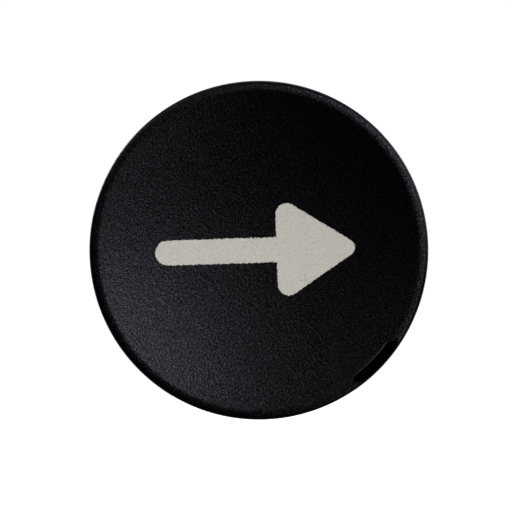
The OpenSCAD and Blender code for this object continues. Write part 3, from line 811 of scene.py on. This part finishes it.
def screw_set(name, places, length, head_r, head_h, pitch, seed, facing=0):
    """Small screws at (x, y, z) places, each turned by chance in its hole. They point to +Y,
    turned about Z by facing."""
    draw = random.Random(seed)
    screws = []
    for place in places:
        one = screw("screw", 0.97, length, head_r, head_h, pitch, draw.uniform(0, 90))
        screws.append(moved(moved(one, turn=facing, about="Z"), *place))
    return joined(name, screws)


def make_clamp_screws():
    """The screws that hold the clamp ring down on the boot."""
    head_y = FLANGE_FRONT_Y - RING_THICK
    length = span("clamp_screws", 1)[1] - head_y
    places = [(x, head_y, z) for x, z in around(*CLAMP_CIRCLE)]
    fit(screw_set("boot_screws", places, length, 2.2, 1.35, 0.45, 4), "clamp_screws", stainless)


def make_bracket_screws():
    """The screws that hold the bracket's feet to the end of the barrel."""
    head_y = BARREL_END_Y + SHEET
    length = head_y - span("bracket_screws", 1)[0]
    places = [(x, head_y, z) for x, z in FOOT_PLACES]
    screws = screw_set("foot_screws", places, length, 1.9, 1.3, 0.45, 7, 180)
    fit(screws, "bracket_screws", plated_steel)


def make_ground_screw():
    """The green earth screw and its toothed washer."""
    x, z = EARTH_PLACE
    y0 = span("ground_screw", 1)[0]
    head_y = span("ground_washer", 1)[1]
    made = moved(screw("earth_screw", 1.22, head_y - y0, 2.5, 1.7, 0.5, 20), turn=180, about="Z")
    bore, rim_r, crown_r = 1.4, 2.95, 2.4
    washer = lathe("earth_washer", rounded([(bore, BARREL_END_Y, 0.1), (rim_r, BARREL_END_Y, 0.15),
                   (crown_r, head_y, 0.15), (bore, head_y, 0.1)]), 64)
    teeth = [prism("tooth", arc(0, 0, 3.2, a, a + 12, 3) + arc(0, 0, 2.45, a + 12, a, 3),
                   BARREL_END_Y - 0.1, head_y + 0.1) for a in range(0, 360, 30)]
    cut(washer, *teeth)
    fit(moved(washer, x, 0, z), "ground_washer", plated_steel)
    fit(moved(made, x, head_y, z), "ground_screw", ground_green)


def make_switch_screws():
    """The two screws through the switch, and their nuts behind the bracket."""
    head_x = CASE_RIGHT + 0.02
    length = head_x - span("switch_screws", 0)[0]
    places = [(head_x, y, z) for y, z in CASE_PLACES]
    screws = screw_set("case_screws", places, length, 1.9, 1.3, 0.4, 9, 90)
    fit(screws, "switch_screws", plated_steel)
    x0, x1 = span("switch_nuts", 0)
    nuts = []
    for y, z in CASE_PLACES:
        nut = prism("nut", circle(y, z, 2.28, 6), x0, x1, "x")
        nuts.append(soften(cut(nut, rod(1.0, x0 - 1, x1 + 1, y, z, "x")), 0.14))
    fit(joined("case_nuts", nuts), "switch_nuts", plated_steel)


# ---------- the operator body ----------

def make_body():
    """The die-cast operator body, with its bores, tapped holes and ejector marks."""
    bore, rear_bore, chamber_end = 9.5, 6.0, 16.0
    seat = (16.6, 18.8)
    barrel = span("front_bush", 0)[1] + 5.53
    collar = 11.5
    outline = rounded([
        (bore, COLLAR_Y, 0.2), (collar, COLLAR_Y, 0.4), (collar, FLANGE_FRONT_Y, 0.3),
        (seat[0], FLANGE_FRONT_Y, 0.15), (seat[0], FLANGE_FRONT_Y + 1, 0.15),
        (seat[1], FLANGE_FRONT_Y + 1, 0.15), (seat[1], FLANGE_FRONT_Y, 0.15),
        (FLANGE_R, FLANGE_FRONT_Y, 0.6), (FLANGE_R, FLANGE_BACK_Y, 0.5),
        (barrel - 0.4, FLANGE_BACK_Y, 0.2), (barrel - 0.4, 0.1, 0.1), (barrel, 0.4, 0.3),
        (barrel, BARREL_END_Y, 0.8), (rear_bore, BARREL_END_Y, 0.3), (rear_bore, chamber_end, 0.1),
        (bore, chamber_end, 0.4)])
    body = lathe("body", outline, 192, 30)
    holes = rods(1.65, FLANGE_BACK_Y - 4.4, 1, around(*MOUNT_CIRCLE))
    holes += rods(1.0, FLANGE_FRONT_Y - 1, FLANGE_FRONT_Y + 4, around(*CLAMP_CIRCLE))
    holes += rods(1.0, BARREL_END_Y - 5, BARREL_END_Y + 1, FOOT_PLACES)
    holes += rods(1.25, BARREL_END_Y - 5, BARREL_END_Y + 1, [EARTH_PLACE])
    holes += rods(1.3, BARREL_END_Y - 0.15, BARREL_END_Y + 1, around(3, 30, 12.2))
    cut(body, *holes, angle=30)
    fit(body, "operator_body", cast_alloy)


def make_front_bush():
    """The front bearing, with slots that keep the plunger's pin from turning."""
    r, y0, y1 = turned_size("front_bush")
    bush = flat_ring("front_bearing", FRONT_R + 0.03, r, y0, y1, (0.3, 0.3, 0.2, 0.2))
    cut(bush, prism("slot", oblong(-8.3, -1.28, 8.3, 1.28), y0 - 1, -0.63))
    fit(bush, "front_bush", bearing_bronze)


def make_rear_bush():
    """The rear bearing: a flange and a sleeve."""
    r, y0, y1 = turned_size("rear_bush")
    bush = lathe("rear_bearing", rounded([(4.0, y0, 0.2), (r, y0, 0.2), (r, y0 + 0.97, 0.2),
                 (5.97, y0 + 0.97), (5.97, y1, 0.2), (4.0, y1, 0.3)]), 128)
    fit(bush, "rear_bush", bearing_bronze)


def make_wiper():
    """The rod wiper: a stiff outer ring with a thin lip that leans on the plunger."""
    r, _, y1 = turned_size("wiper_seal")
    y0 = COLLAR_Y + 0.15
    lip = FRONT_R + 0.08
    outline = rounded([
        (lip, y0, 0.08), (lip + 0.45, y0 - 0.5, 0.1), (lip + 1.15, y0 + 0.6, 0.3),
        (r - 0.6, y0 + 0.6, 0.3), (r - 0.6, y0, 0.15), (r, y0, 0.15), (r, y1, 0.2),
        (lip + 0.35, y1, 0.2), (lip + 0.35, y0 + 0.8, 0.2), (lip, y0 + 0.4, 0.1)], steps=4)
    fit(lathe("wiper", outline, 128), "wiper_seal", seal_rubber)


def boot_line(s):
    """Middle line of the boot from the flange (0) to the cap's boss (1): (radius, y)."""
    fold_depth, half_folds = 1.15, 5
    start = Vector((16.35, FLANGE_FRONT_Y - 1.5))
    end = Vector((8.75, BOOT_END_Y))
    along = (end - start).normalized()
    across = Vector((along.y, -along.x))
    return start + (end - start) * s + across * fold_depth * math.sin(half_folds * math.pi * s)


def boot_side(s, offset):
    """A point of the boot's skin, at that offset from its middle line."""
    run = (boot_line(s + 0.002) - boot_line(s - 0.002)).normalized()
    return tuple(boot_line(s) + offset * Vector((run.y, -run.x)))


def make_boot():
    """The bellows between flange and cap."""
    steps, half, y0 = 96, 0.35, FLANGE_FRONT_Y
    bead_in, bead_out, bead_end = 16.7, 18.7, y0 + 0.95
    lip_out, lip_in, lip_front, lip_back = 8.1, 7.05, GROOVE_Y[0] + 0.1, GROOVE_Y[1] - 0.1
    outer = [boot_side(s, half) for s in spaced(0, 1, steps)]
    inner = [boot_side(s, -half) for s in spaced(0, 1, steps)]
    bead = rounded([(bead_in, y0 - 0.7), (bead_in, bead_end, 0.2), (bead_out, bead_end, 0.3),
                    (bead_out, y0 + 0.05, 0.2), (bead_in + 0.2, y0 + 0.05)])
    lip = rounded([(lip_out, lip_front, 0.15), (lip_in, lip_front, 0.25), (lip_in, lip_back, 0.25),
                   (lip_out, lip_back, 0.15)], steps=4)
    boot = lathe("boot", bead + inner + lip + outer[::-1], 160, 40)
    fit(boot, "rubber_boot", boot_rubber)
    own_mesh(boot)


def make_spring():
    """The return spring: a closed coil at each end, and even working coils between."""
    y0, y1 = span("return_spring", 1)
    wire_r, mean_r, turns, per_turn, sides, ground_off = 0.6, 6.6, 6.5, 40, 14, 0.25
    rise = y1 - y0 - 2 * wire_r

    def height(turn):
        dead = wire_r * 2
        if turn < 1:
            return dead * turn
        if turn > turns - 1:
            return rise - dead * (turns - turn)
        return dead + (rise - 2 * dead) * (turn - 1) / (turns - 2)

    rings = []
    for i in range(round(turns * per_turn) + 1):
        a = 2 * math.pi * i / per_turn
        y = y0 + wire_r + height(i / per_turn)
        ring = []
        for j in range(sides):
            b = 2 * math.pi * j / sides
            r = mean_r + wire_r * math.cos(b)
            flat = min(max(y + wire_r * math.sin(b), y0 + ground_off), y1 - ground_off)
            ring.append((r * math.cos(a), flat, r * math.sin(a)))
        rings.append(ring)
    spring = skinned("spring", rings, 50)
    fit(spring, "return_spring", spring_steel)
    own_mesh(spring)


def make_clamp_ring():
    """The flat ring that holds the boot's bead down on the flange."""
    y0, y1 = FLANGE_FRONT_Y - RING_THICK, FLANGE_FRONT_Y
    ring = flat_ring("clamp_ring", 17, 22.2, y0, y1, (0.35, 0.45, 0.15, 0.15), 192)
    cut(ring, *rods(1.35, y0 - 1, y0 + 2, around(*CLAMP_CIRCLE)))
    fit(ring, "boot_clamp_ring", stainless)


def make_bump_washer():
    """The washer that the retaining ring comes to rest on."""
    washer = flat_ring("stop_washer", 4.1, 7.4, *span("bump_washer", 1), (0.2, 0.3, 0.3, 0.2))
    fit(washer, "bump_washer", nylon)


def make_gasket():
    """The panel gasket, with two narrow grooves in its rear face."""
    y0, bore = FLANGE_BACK_Y, 15.05
    corners = [(bore, y0, 0.1), (FLANGE_R, y0, 0.2), (FLANGE_R, 0, 0.3)]
    for r in (21.55, 16.35):
        corners += [(r + 0.15, 0, 0.1), (r, -0.25, 0.1), (r - 0.15, 0, 0.1)]
    outline = rounded(corners + [(bore, 0, 0.2)], steps=3)
    gasket = lathe("gasket", outline, 192)
    cut(gasket, *rods(2.3, y0 - 1, 1, around(*MOUNT_CIRCLE)))
    fit(gasket, "panel_gasket", gasket_rubber)


# ---------- the switch and its bracket ----------

def case_holes(x0, x1):
    """What the holes of the case screws take away, between two places along X."""
    return rods(1.15, x0, x1, CASE_PLACES, "x")


def make_bracket():
    """Bent sheet: a plate with an arch, on two feet. It is cut flat in (y, z), then the feet
    are bent over to -X."""
    inside_r = 0.5
    foot_x, end_y = span("switch_bracket", 0)[0], span("switch_bracket", 1)[1]
    edge_z, arch_z = span("switch_bracket", 2)[1], 7.9
    outer_r = inside_r + SHEET
    neutral = inside_r + SHEET / 2
    bend_y = BARREL_END_Y + outer_r                  # where the flat plate starts
    arc_length = neutral * math.pi / 2
    foot_flat = PLATE_X - outer_r - foot_x
    low_y = bend_y - arc_length - foot_flat
    outline = rounded([
        (low_y, -edge_z, 1.0), (end_y, -edge_z, 1.8), (end_y, edge_z, 1.8), (low_y, edge_z, 1.0),
        (low_y, arch_z, 0.6), (BARREL_END_Y + 9, arch_z, 2.5), (BARREL_END_Y + 9, -arch_z, 2.5),
        (low_y, -arch_z, 0.6)])
    sheet = prism("bracket", outline, 0, SHEET, "x")
    holes = case_holes(-1, 3)
    flat_feet = [(bend_y - arc_length - (PLATE_X - outer_r - x), z) for x, z in FOOT_PLACES]
    holes += rods(1.4, -1, 3, flat_feet, "x")
    holes += [prism("window", oblong(end_y - 3.2, -9.5, end_y - 1.8, -6.2, 0.7), -1, 3, "x")]
    cut(sheet, *holes)
    bm = bmesh.new()
    bm.from_mesh(sheet.data)
    for i in range(9):
        place = (0, bend_y - arc_length * i / 8, 0)
        whole = bm.verts[:] + bm.edges[:] + bm.faces[:]
        bmesh.ops.bisect_plane(bm, geom=whole, plane_co=place, plane_no=(0, 1, 0))
    for vert in bm.verts:
        depth, y, z = vert.co                        # depth 0 is the face away from the switch
        if y >= bend_y:
            vert.co = (PLATE_X - SHEET + depth, y, z)
            continue
        past = min(bend_y - y, arc_length)
        a = past / neutral
        r = inside_r + depth
        x = PLATE_X - outer_r + r * math.cos(a)
        flat = bend_y - y - past
        vert.co = (x - flat, bend_y - r * math.sin(a), z)
    bm.to_mesh(sheet.data)
    bm.free()
    fit(soften(sheet, 0.15, angle=50), "switch_bracket", plated_steel)


def make_insulator():
    """The fibre sheet between the bracket and the switch."""
    y0, y1 = span("insulator_sheet", 1)
    x0, x1 = span("insulator_sheet", 0)
    sheet = prism("insulator", oblong(y0, CASE_LOW_Z, y1, CASE_HIGH_Z, 1.2), x0, x1, "x")
    cut(sheet, *case_holes(x0 - 1, x1 + 1))
    fit(sheet, "insulator_sheet", insulation_board)


def lug(x0, x1):
    """A rounded ear that carries the lever's pivot pin."""
    outline = arc(PIVOT_Y, PIVOT_Z, 0.9, 90, 270, 10)
    outline += [(CASE_FRONT_Y + 0.3, PIVOT_Z - 1.3), (CASE_FRONT_Y + 0.3, PIVOT_Z + 1.3)]
    return prism("lug", outline, x0, x1, "x")


def case_half(name, x, lug_x, panel_x, edge):
    """Half of the switch's case between two places along X, with a lug, and with a sunk panel that
    leaves a wall of that width at its edge and a rim round each screw."""
    def outline(inset, r):
        return oblong(CASE_FRONT_Y + inset, CASE_LOW_Z + inset,
                      CASE_BACK_Y - inset, CASE_HIGH_Z - inset, r)
    half = soften(prism(name, outline(0, 0.5), *x, "x"), 0.15)
    merge(half, lug(*lug_x))
    panel = prism("panel", outline(edge, 0.6), *panel_x, "x")
    cut(panel, *rods(2.2, panel_x[0] - 1, panel_x[1] + 1, CASE_PLACES, "x"))
    return cut(half, panel)


def make_switch_base():
    """The moulded half of the case that holds the works."""
    base = case_half("case_base", (CASE_LEFT, SPLIT_X), (CASE_LEFT, CASE_LEFT + 1.1),
                     (CASE_LEFT - 1, CASE_LEFT + 0.25), 1.0)
    front, back = CAVITY_Y
    cut(base, block((-1.9, front, CASE_Z - 8.6), (SPLIT_X + 1, back, CASE_Z + 8.6)))
    cut(base, *[block((-1.45, back - 1, z - 0.28), (SPLIT_X + 1, CASE_BACK_Y + 1, z + 0.28))
                for z in TAB_Z])
    cut(base, rod(1.13, CASE_FRONT_Y - 1, front + 1, 0, PIN_Z))
    cut(base, *case_holes(CASE_LEFT - 1, CASE_RIGHT + 1))
    cut(base, rod(0.51, CASE_LEFT - 1, CASE_RIGHT, PIVOT_Y, PIVOT_Z, "x"))
    fit(base, "switch_base", phenolic)


def make_switch_cover():
    """The lid of the case, with a sunk panel, a rim at each screw hole and ejector marks."""
    cover = case_half("case_cover", span("switch_cover", 0), (2.05, CASE_RIGHT),
                      (CASE_RIGHT - 0.25, CASE_RIGHT + 1), 0.9)
    mark_y = CASE_FRONT_Y + 2.6
    marks = rods(0.7, CASE_RIGHT - 0.35, CASE_RIGHT + 1, [(mark_y, -4.5), (mark_y, 10.5)], "x")
    cut(cover, *marks, *case_holes(CASE_LEFT, CASE_RIGHT + 1),
        rod(0.51, 0, CASE_RIGHT + 1, PIVOT_Y, PIVOT_Z, "x"))
    fit(cover, "switch_cover", cover_plastic)


def make_pivot_pin():
    """The pin that the lever turns on, with broken edges."""
    pin = flat_ring("pivot", 0, 0.5, *span("lever_pivot_pin", 0), (0, 0.12, 0.12, 0), 32, 4)
    moved(pin, turn=-90, about="Z")
    moved(pin, 0, PIVOT_Y, PIVOT_Z)
    fit(pin, "lever_pivot_pin", stainless)


def make_switch_pin():
    """The red pin that the lever pushes in: a domed head on a stem with a collar."""
    y0, y1 = span("switch_pin", 1)
    outline = rounded([(0, y0), (0.75, y0 + 0.28, 0.4), (1.1, y0 + 0.8, 0.3), (1.1, y1 - 0.6, 0.1),
                       (1.6, y1 - 0.6, 0.1), (1.6, y1, 0.15), (0, y1)])
    pin = moved(lathe("case_pin", outline, 48), z=PIN_Z)
    fit(pin, "switch_pin", pin_plastic, "switch_plunger")


def make_lever():
    """The spring strip that the plunger's nose pushes, rolled round the pivot at one end."""
    length, half, half_width, angle = 16.4, 0.2, 1.8, -16.85
    plan = rounded([(-half_width, 0), (-half_width, -length, 1.1), (half_width, -length, 1.1),
                    (half_width, 0)])
    strip = prism("lever", plan, -half, half)
    merge(strip, rod(0.95, -half_width, half_width, axis="x"))
    cut(strip, rod(0.53, -3, 3, axis="x", steps=32))
    cut(strip, block((-0.6, -1, -3.4), (0.6, 1, -1.9)))
    soften(strip, 0.06, 1)
    moved(strip, 0, PIVOT_Y, PIVOT_Z, angle, "X")
    fit(strip, "switch_lever", stainless, "switch_arm")


def make_blade():
    """The snap blade: a slotted strip that carries the moving contact."""
    z0, z1 = span("snap_blade", 2)
    y_low = span("snap_blade", 1)[0] + 0.325
    strip = prism("blade", oblong(-1.3, z0, 1.3, z1 - 0.45, 0.4), y_low, y_low + 0.25)
    merge(strip, rod(0.45, -1.3, 1.3, y_low + 0.125, z1 - 0.45, "x", 24))
    slot = prism("slot", oblong(-0.7, z0 + 3.4, 0.7, z1 - 2.85, 0.5), y_low - 1, y_low + 1)
    cut(strip, slot, rod(0.6, y_low - 1, y_low + 1, 0, z0 + 1, steps=24))
    fit(strip, "snap_blade", contact_spring, "contact_blade")


def make_contact():
    """The silver rivet on the blade, with a face to each side."""
    y0, y1 = span("moving_contact", 1)
    head_r, shank_r, head_h, dome = 0.95, 0.57, 0.33, 0.06
    outline = rounded([
        (0, y0), (head_r, y0 + dome, 0.12), (head_r, y0 + head_h, 0.03), (shank_r, y0 + head_h),
        (shank_r, y1 - head_h), (head_r, y1 - head_h, 0.03), (head_r, y1 - dome, 0.12),
        (0, y1)], steps=3)
    rivet = moved(lathe("contact", outline, 40), z=centre("moving_contact", 2))
    fit(rivet, "moving_contact", contact_silver, "contact_blade")


def tab(name, z):
    """A quick-connect tab with a chamfered tip and a hole."""
    end_y = CASE_BACK_Y + 6.4
    root_y = CAVITY_Y[1] - 0.6
    plan = [(-TAB_HALF, root_y), (TAB_HALF, root_y), (TAB_HALF, end_y - 0.9),
            (TAB_HALF - 0.6, end_y), (-TAB_HALF + 0.6, end_y), (-TAB_HALF, end_y - 0.9)]
    blade = prism(name, plan, z - TAB_EDGE, z + TAB_EDGE, "z")
    cut(blade, rod(0.65, z - 1, z + 1, 0, end_y - 2, "z"))
    return soften(blade, 0.07, 1)


def leg(y0, y1, z0, z1):
    """A stretch of a terminal inside the case, as wide as its tab."""
    return block((-TAB_HALF, y0, z0), (TAB_HALF, y1, z1))


def contact_dome(y0, y1, z):
    """A fixed contact: a low round button on a terminal's leg."""
    return moved(flat_ring("dome", 0, 0.9, y0, y1, (0, 0.1, 0.1, 0), 32), z=z)


def make_terminals():
    """The three terminals, each with its tab, its leg inside the case and its fixed contact."""
    front, back = CAVITY_Y
    leg_thick = 0.35
    contact_z = span("moving_contact", 2)[0] + 0.95
    blade_top = span("snap_blade", 2)[1] - 0.45
    common = tab("common_tab", TAB_Z[0])
    merge(common, leg(back - 1, back - 0.6, blade_top - 0.2, TAB_Z[0] + TAB_EDGE))
    fit(common, "com_terminal", tinned_brass)
    leg_y = back - 0.4
    opened = tab("open_tab", TAB_Z[1])
    merge(opened, leg(leg_y, leg_y + leg_thick, contact_z - 0.8, TAB_Z[1]))
    merge(opened, contact_dome(leg_y - 0.3, leg_y + 0.1, contact_z))
    fit(opened, "no_terminal", tinned_brass)
    leg_y = front + 0.9
    closed = tab("closed_tab", TAB_Z[2])
    low = TAB_Z[2] - TAB_EDGE
    merge(closed, leg(leg_y, back - 0.5, low, TAB_Z[2] + TAB_EDGE))
    merge(closed, leg(leg_y - leg_thick, leg_y, low, contact_z + 0.8))
    merge(closed, contact_dome(leg_y - 0.1, span("moving_contact", 1)[0] - 0.06, contact_z))
    fit(closed, "nc_terminal", tinned_brass)


# ---------- stage, lights and camera ----------

def make_stage():
    """A white floor that only the camera sees."""
    floor = lathe("floor", [(0, -1), (3000, -1), (3000, 0), (0, 0)], 64)
    floor.data.transform(Matrix.Scale(MM, 4) @ Matrix.Rotation(math.pi / 2, 4, "X"))
    floor.location = (0, 0, -0.08)
    f = Finish((0.9, 0.9, 0.9), 0.9)
    f.shader.inputs["Emission Color"].default_value = (1, 1, 1, 1)
    f.shader.inputs["Emission Strength"].default_value = 1.0
    dress(floor, f, "floor")
    for ray in ("diffuse", "glossy", "transmission"):
        setattr(floor, "visible_" + ray, False)


def make_world():
    """White behind the object, and a dim even light all round it."""
    world = bpy.data.worlds.new("studio")
    bpy.context.scene.world = world
    world.use_nodes = True
    nodes, links = world.node_tree.nodes, world.node_tree.links
    way = nodes.new("ShaderNodeSeparateXYZ")
    links.new(nodes.new("ShaderNodeTexCoord").outputs["Generated"], way.inputs[0])
    ramp = nodes.new("ShaderNodeMapRange")           # dim in front of the face, bright behind it
    for key, value in {"From Min": -0.7, "From Max": 0.4, "To Min": 0.01, "To Max": 0.42}.items():
        ramp.inputs[key].default_value = value
    links.new(way.outputs["Y"], ramp.inputs["Value"])
    path = nodes.new("ShaderNodeLightPath")
    mix = nodes.new("ShaderNodeMix")
    links.new(path.outputs["Is Camera Ray"], mix.inputs["Factor"])
    links.new(ramp.outputs["Result"], mix.inputs["A"])
    mix.inputs["B"].default_value = 1.0
    links.new(mix.outputs["Result"], nodes["Background"].inputs["Strength"])
    nodes["Background"].inputs["Color"].default_value = (1, 1, 1, 1)


def soft_light(name, place, target, size, power):
    """A square or oblong light that points at the target and isn't seen itself."""
    data = bpy.data.lights.new(name, "AREA")
    data.shape = "RECTANGLE"
    data.size, data.size_y = size
    data.energy = power
    light = in_scene(name, data)
    light.location = place
    aim = Vector(target) - Vector(place)
    light.rotation_euler = aim.to_track_quat("-Z", "Y").to_euler()
    light.visible_camera = False


def toward(azimuth, off_axis, distance):
    """A place at that distance from the face, azimuth anticlockwise from +X seen from the front."""
    a, t = math.radians(azimuth), math.radians(off_axis)
    return (distance * math.sin(t) * math.cos(a), CREST_Y * MM - distance * math.cos(t),
            distance * math.sin(t) * math.sin(a))


def make_lights():
    """A key light at the face's upper right and five dimmer ones round the face, then three
    behind it for the metal parts."""
    face = (0, CREST_Y * MM, 0)
    for name, azimuth, off_axis, size, power in (
            ("key", 36, 20, 0.5, 8.1), ("key_side", 30, 60, 1.3, 16.0),
            ("low_right", -42, 30, 0.5, 5.5), ("upper_left", 130, 30, 0.5, 2.0),
            ("left_side", 125, 60, 1.0, 5.0), ("low_side", -45, 76, 0.8, 1.0)):
        soft_light(name, toward(azimuth, off_axis, 1.5), face, (size, size), power)
    middle = (0, 0.01, 0)
    soft_light("rear_left", (-0.9, 0.75, 0.55), middle, (0.5, 0.5), 8.0)
    soft_light("rear_right", (0.95, 0.45, 0.3), middle, (0.25, 0.9), 4.5)
    soft_light("top", (0.1, 0.25, 1.2), middle, (0.8, 0.3), 5.0)


def make_camera():
    """A long lens square to the face, turned a little about the press axis."""
    data = bpy.data.cameras.new("camera")
    data.lens = 500
    data.sensor_width = 36
    data.clip_start = 0.01
    disc_share = 0.3311                              # the cap's radius as a share of the view's width
    radius = CAP_R * MM
    distance = radius * data.lens / (data.sensor_width * disc_share)
    right, up = 0.0170 * radius, 0.0341 * radius     # from the middle of the view to the press axis
    camera = in_scene("camera", data)
    camera.matrix_world = (Matrix.Rotation(math.radians(1.84), 4, "Y")
                           @ Matrix.Translation((-right, (CREST_Y + RIM_R) * MM - distance, -up))
                           @ Matrix.Rotation(math.pi / 2, 4, "X"))
    bpy.context.scene.camera = camera


make_camera()
make_stage()
make_world()
make_lights()
bpy.context.scene.view_settings.view_transform = "Standard"

for make in (make_cap, make_arrow, make_insert, make_nut, make_plunger, make_anti_turn_pin,
             make_spring_cup, make_retaining_ring, make_clamp_screws, make_bracket_screws,
             make_ground_screw, make_switch_screws, make_body, make_front_bush, make_rear_bush,
             make_wiper, make_boot, make_spring, make_clamp_ring, make_bump_washer, make_gasket,
             make_bracket, make_insulator, make_switch_base, make_switch_cover, make_pivot_pin,
             make_switch_pin, make_lever, make_blade, make_contact, make_terminals):
    make()
